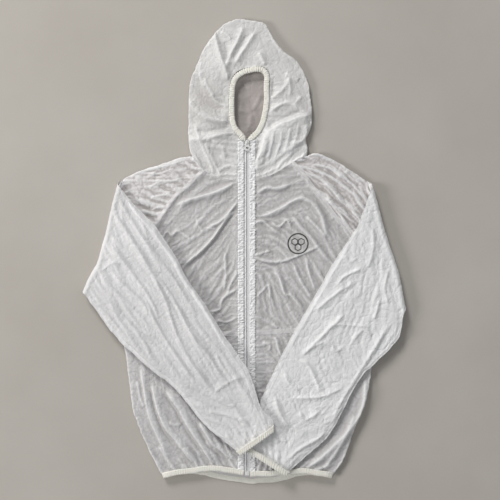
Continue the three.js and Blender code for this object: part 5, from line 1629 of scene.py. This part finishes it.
for ob, nodes in ((FR, ["front_panel_right"]), (FL, ["front_panel_left"]), (SR, ["raglan_front_right", "shoulder_seam_right", "underarm_seam_right"]),
                  (SL, ["raglan_front_left", "shoulder_seam_left", "underarm_seam_left"]), (BACK, ["back_panel", "side_seam_right", "side_seam_left"]),
                  (BSH["R"], ["raglan_back_right"]), (BSH["L"], ["raglan_back_left"]), (PB["R"], ["inner_pocket_right"]), (PB["L"], ["inner_pocket_left"]),
                  (HF, ["hood_base_front_right", "hood_base_front_left", "hood_side_right", "hood_side_left", "hood_centre_panel", "hood_edge_right", "hood_edge_left", "hood_base_edge_right", "hood_base_edge_left"]),
                  (HBACK, ["hood_back_panel", "hood_base_back"]),
                  (UP["R"], ["right_sleeve_back", "right_sleeve_top_edge", "right_sleeve_underarm_seam"]), (LOW["R"], ["right_sleeve_front"]),
                  (UP["L"], ["left_sleeve_back", "left_sleeve_top_edge", "left_sleeve_underarm_seam"]), (LOW["L"], ["left_sleeve_front"])):
    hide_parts(*nodes)

# ------------------------------------------------------------------ materials of the hard parts
for node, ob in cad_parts.items():
    if node.startswith("zip_coil"):
        ob.data.materials.clear()
        ob.data.materials.append(COIL)
    elif node.startswith("zip_") and "tape" not in node:
        ob.data.materials.clear()
        ob.data.materials.append(ENAMEL)
        b = ob.modifiers.new("soft_edges", "BEVEL")
        b.width, b.segments, b.limit_method, b.angle_limit = 0.00028, 3, "ANGLE", math.radians(35)
        b.harden_normals = False

# ------------------------------------------------------------------ floor, light and camera
def floor_material():
    k = Nodes("pale_floor")
    k.link(k.ramp(k.noise(3.0, 4.0), (0.3, rgb("b9b3ab")), (0.7, rgb("c2bdb5"))), k.p.inputs["Base Color"])
    k.link(k.math("MULTIPLY_ADD", k.noise(30.0), 0.1, 0.75), k.p.inputs["Roughness"])
    k.link(k.bump(k.noise(60.0, 3.0), 0.0004, 0.3), k.p.inputs["Normal"])
    return k.m


floor = new_mesh("floor", [(-6000, -6000, -0.4), (6000, -6000, -0.4), (6000, 6000, -0.4), (-6000, 6000, -0.4)], [(0, 1, 2, 3)], floor_material())


def area_light(name, at, to, size, power, colour=(1, 1, 1)):
    d = bpy.data.lights.new(name, "AREA")
    d.shape, d.size, d.energy, d.color = "DISK", size, power, colour
    o = bpy.data.objects.new(name, d)
    o.location = at
    o.rotation_euler = (Vector(to) - Vector(at)).to_track_quat("-Z", "Y").to_euler()
    bpy.context.scene.collection.objects.link(o)


area_light("window", (-1.9, 4.0, 2.6), (0, 0, 0), 1.5, 150, (1.0, 0.99, 0.975))
area_light("window_side", (-4.0, -0.65, 2.0), (0, 0, 0), 1.4, 96, (1.0, 0.99, 0.975))
area_light("fill", (1.9, -0.9, 1.9), (0, 0, 0), 1.8, 5, (0.95, 0.97, 1.0))
bpy.context.scene.view_settings.view_transform = "Standard"
world = bpy.data.worlds.new("soft_room")
world.use_nodes = True
world.node_tree.nodes["Background"].inputs["Color"].default_value = (0.97, 0.98, 1.0, 1)
world.node_tree.nodes["Background"].inputs["Strength"].default_value = 0.27
bpy.context.scene.world = world

cam = bpy.data.cameras.new("camera")
cam.lens, cam.sensor_width = 50.0, 36.0
eye = bpy.data.objects.new("camera", cam)
eye.location = (0.00984, 0.00263, 0.010 + 1.075 / 36.0 * 50.0)
bpy.context.scene.collection.objects.link(eye)
bpy.context.scene.camera = eye

bpy.context.view_layer.update()
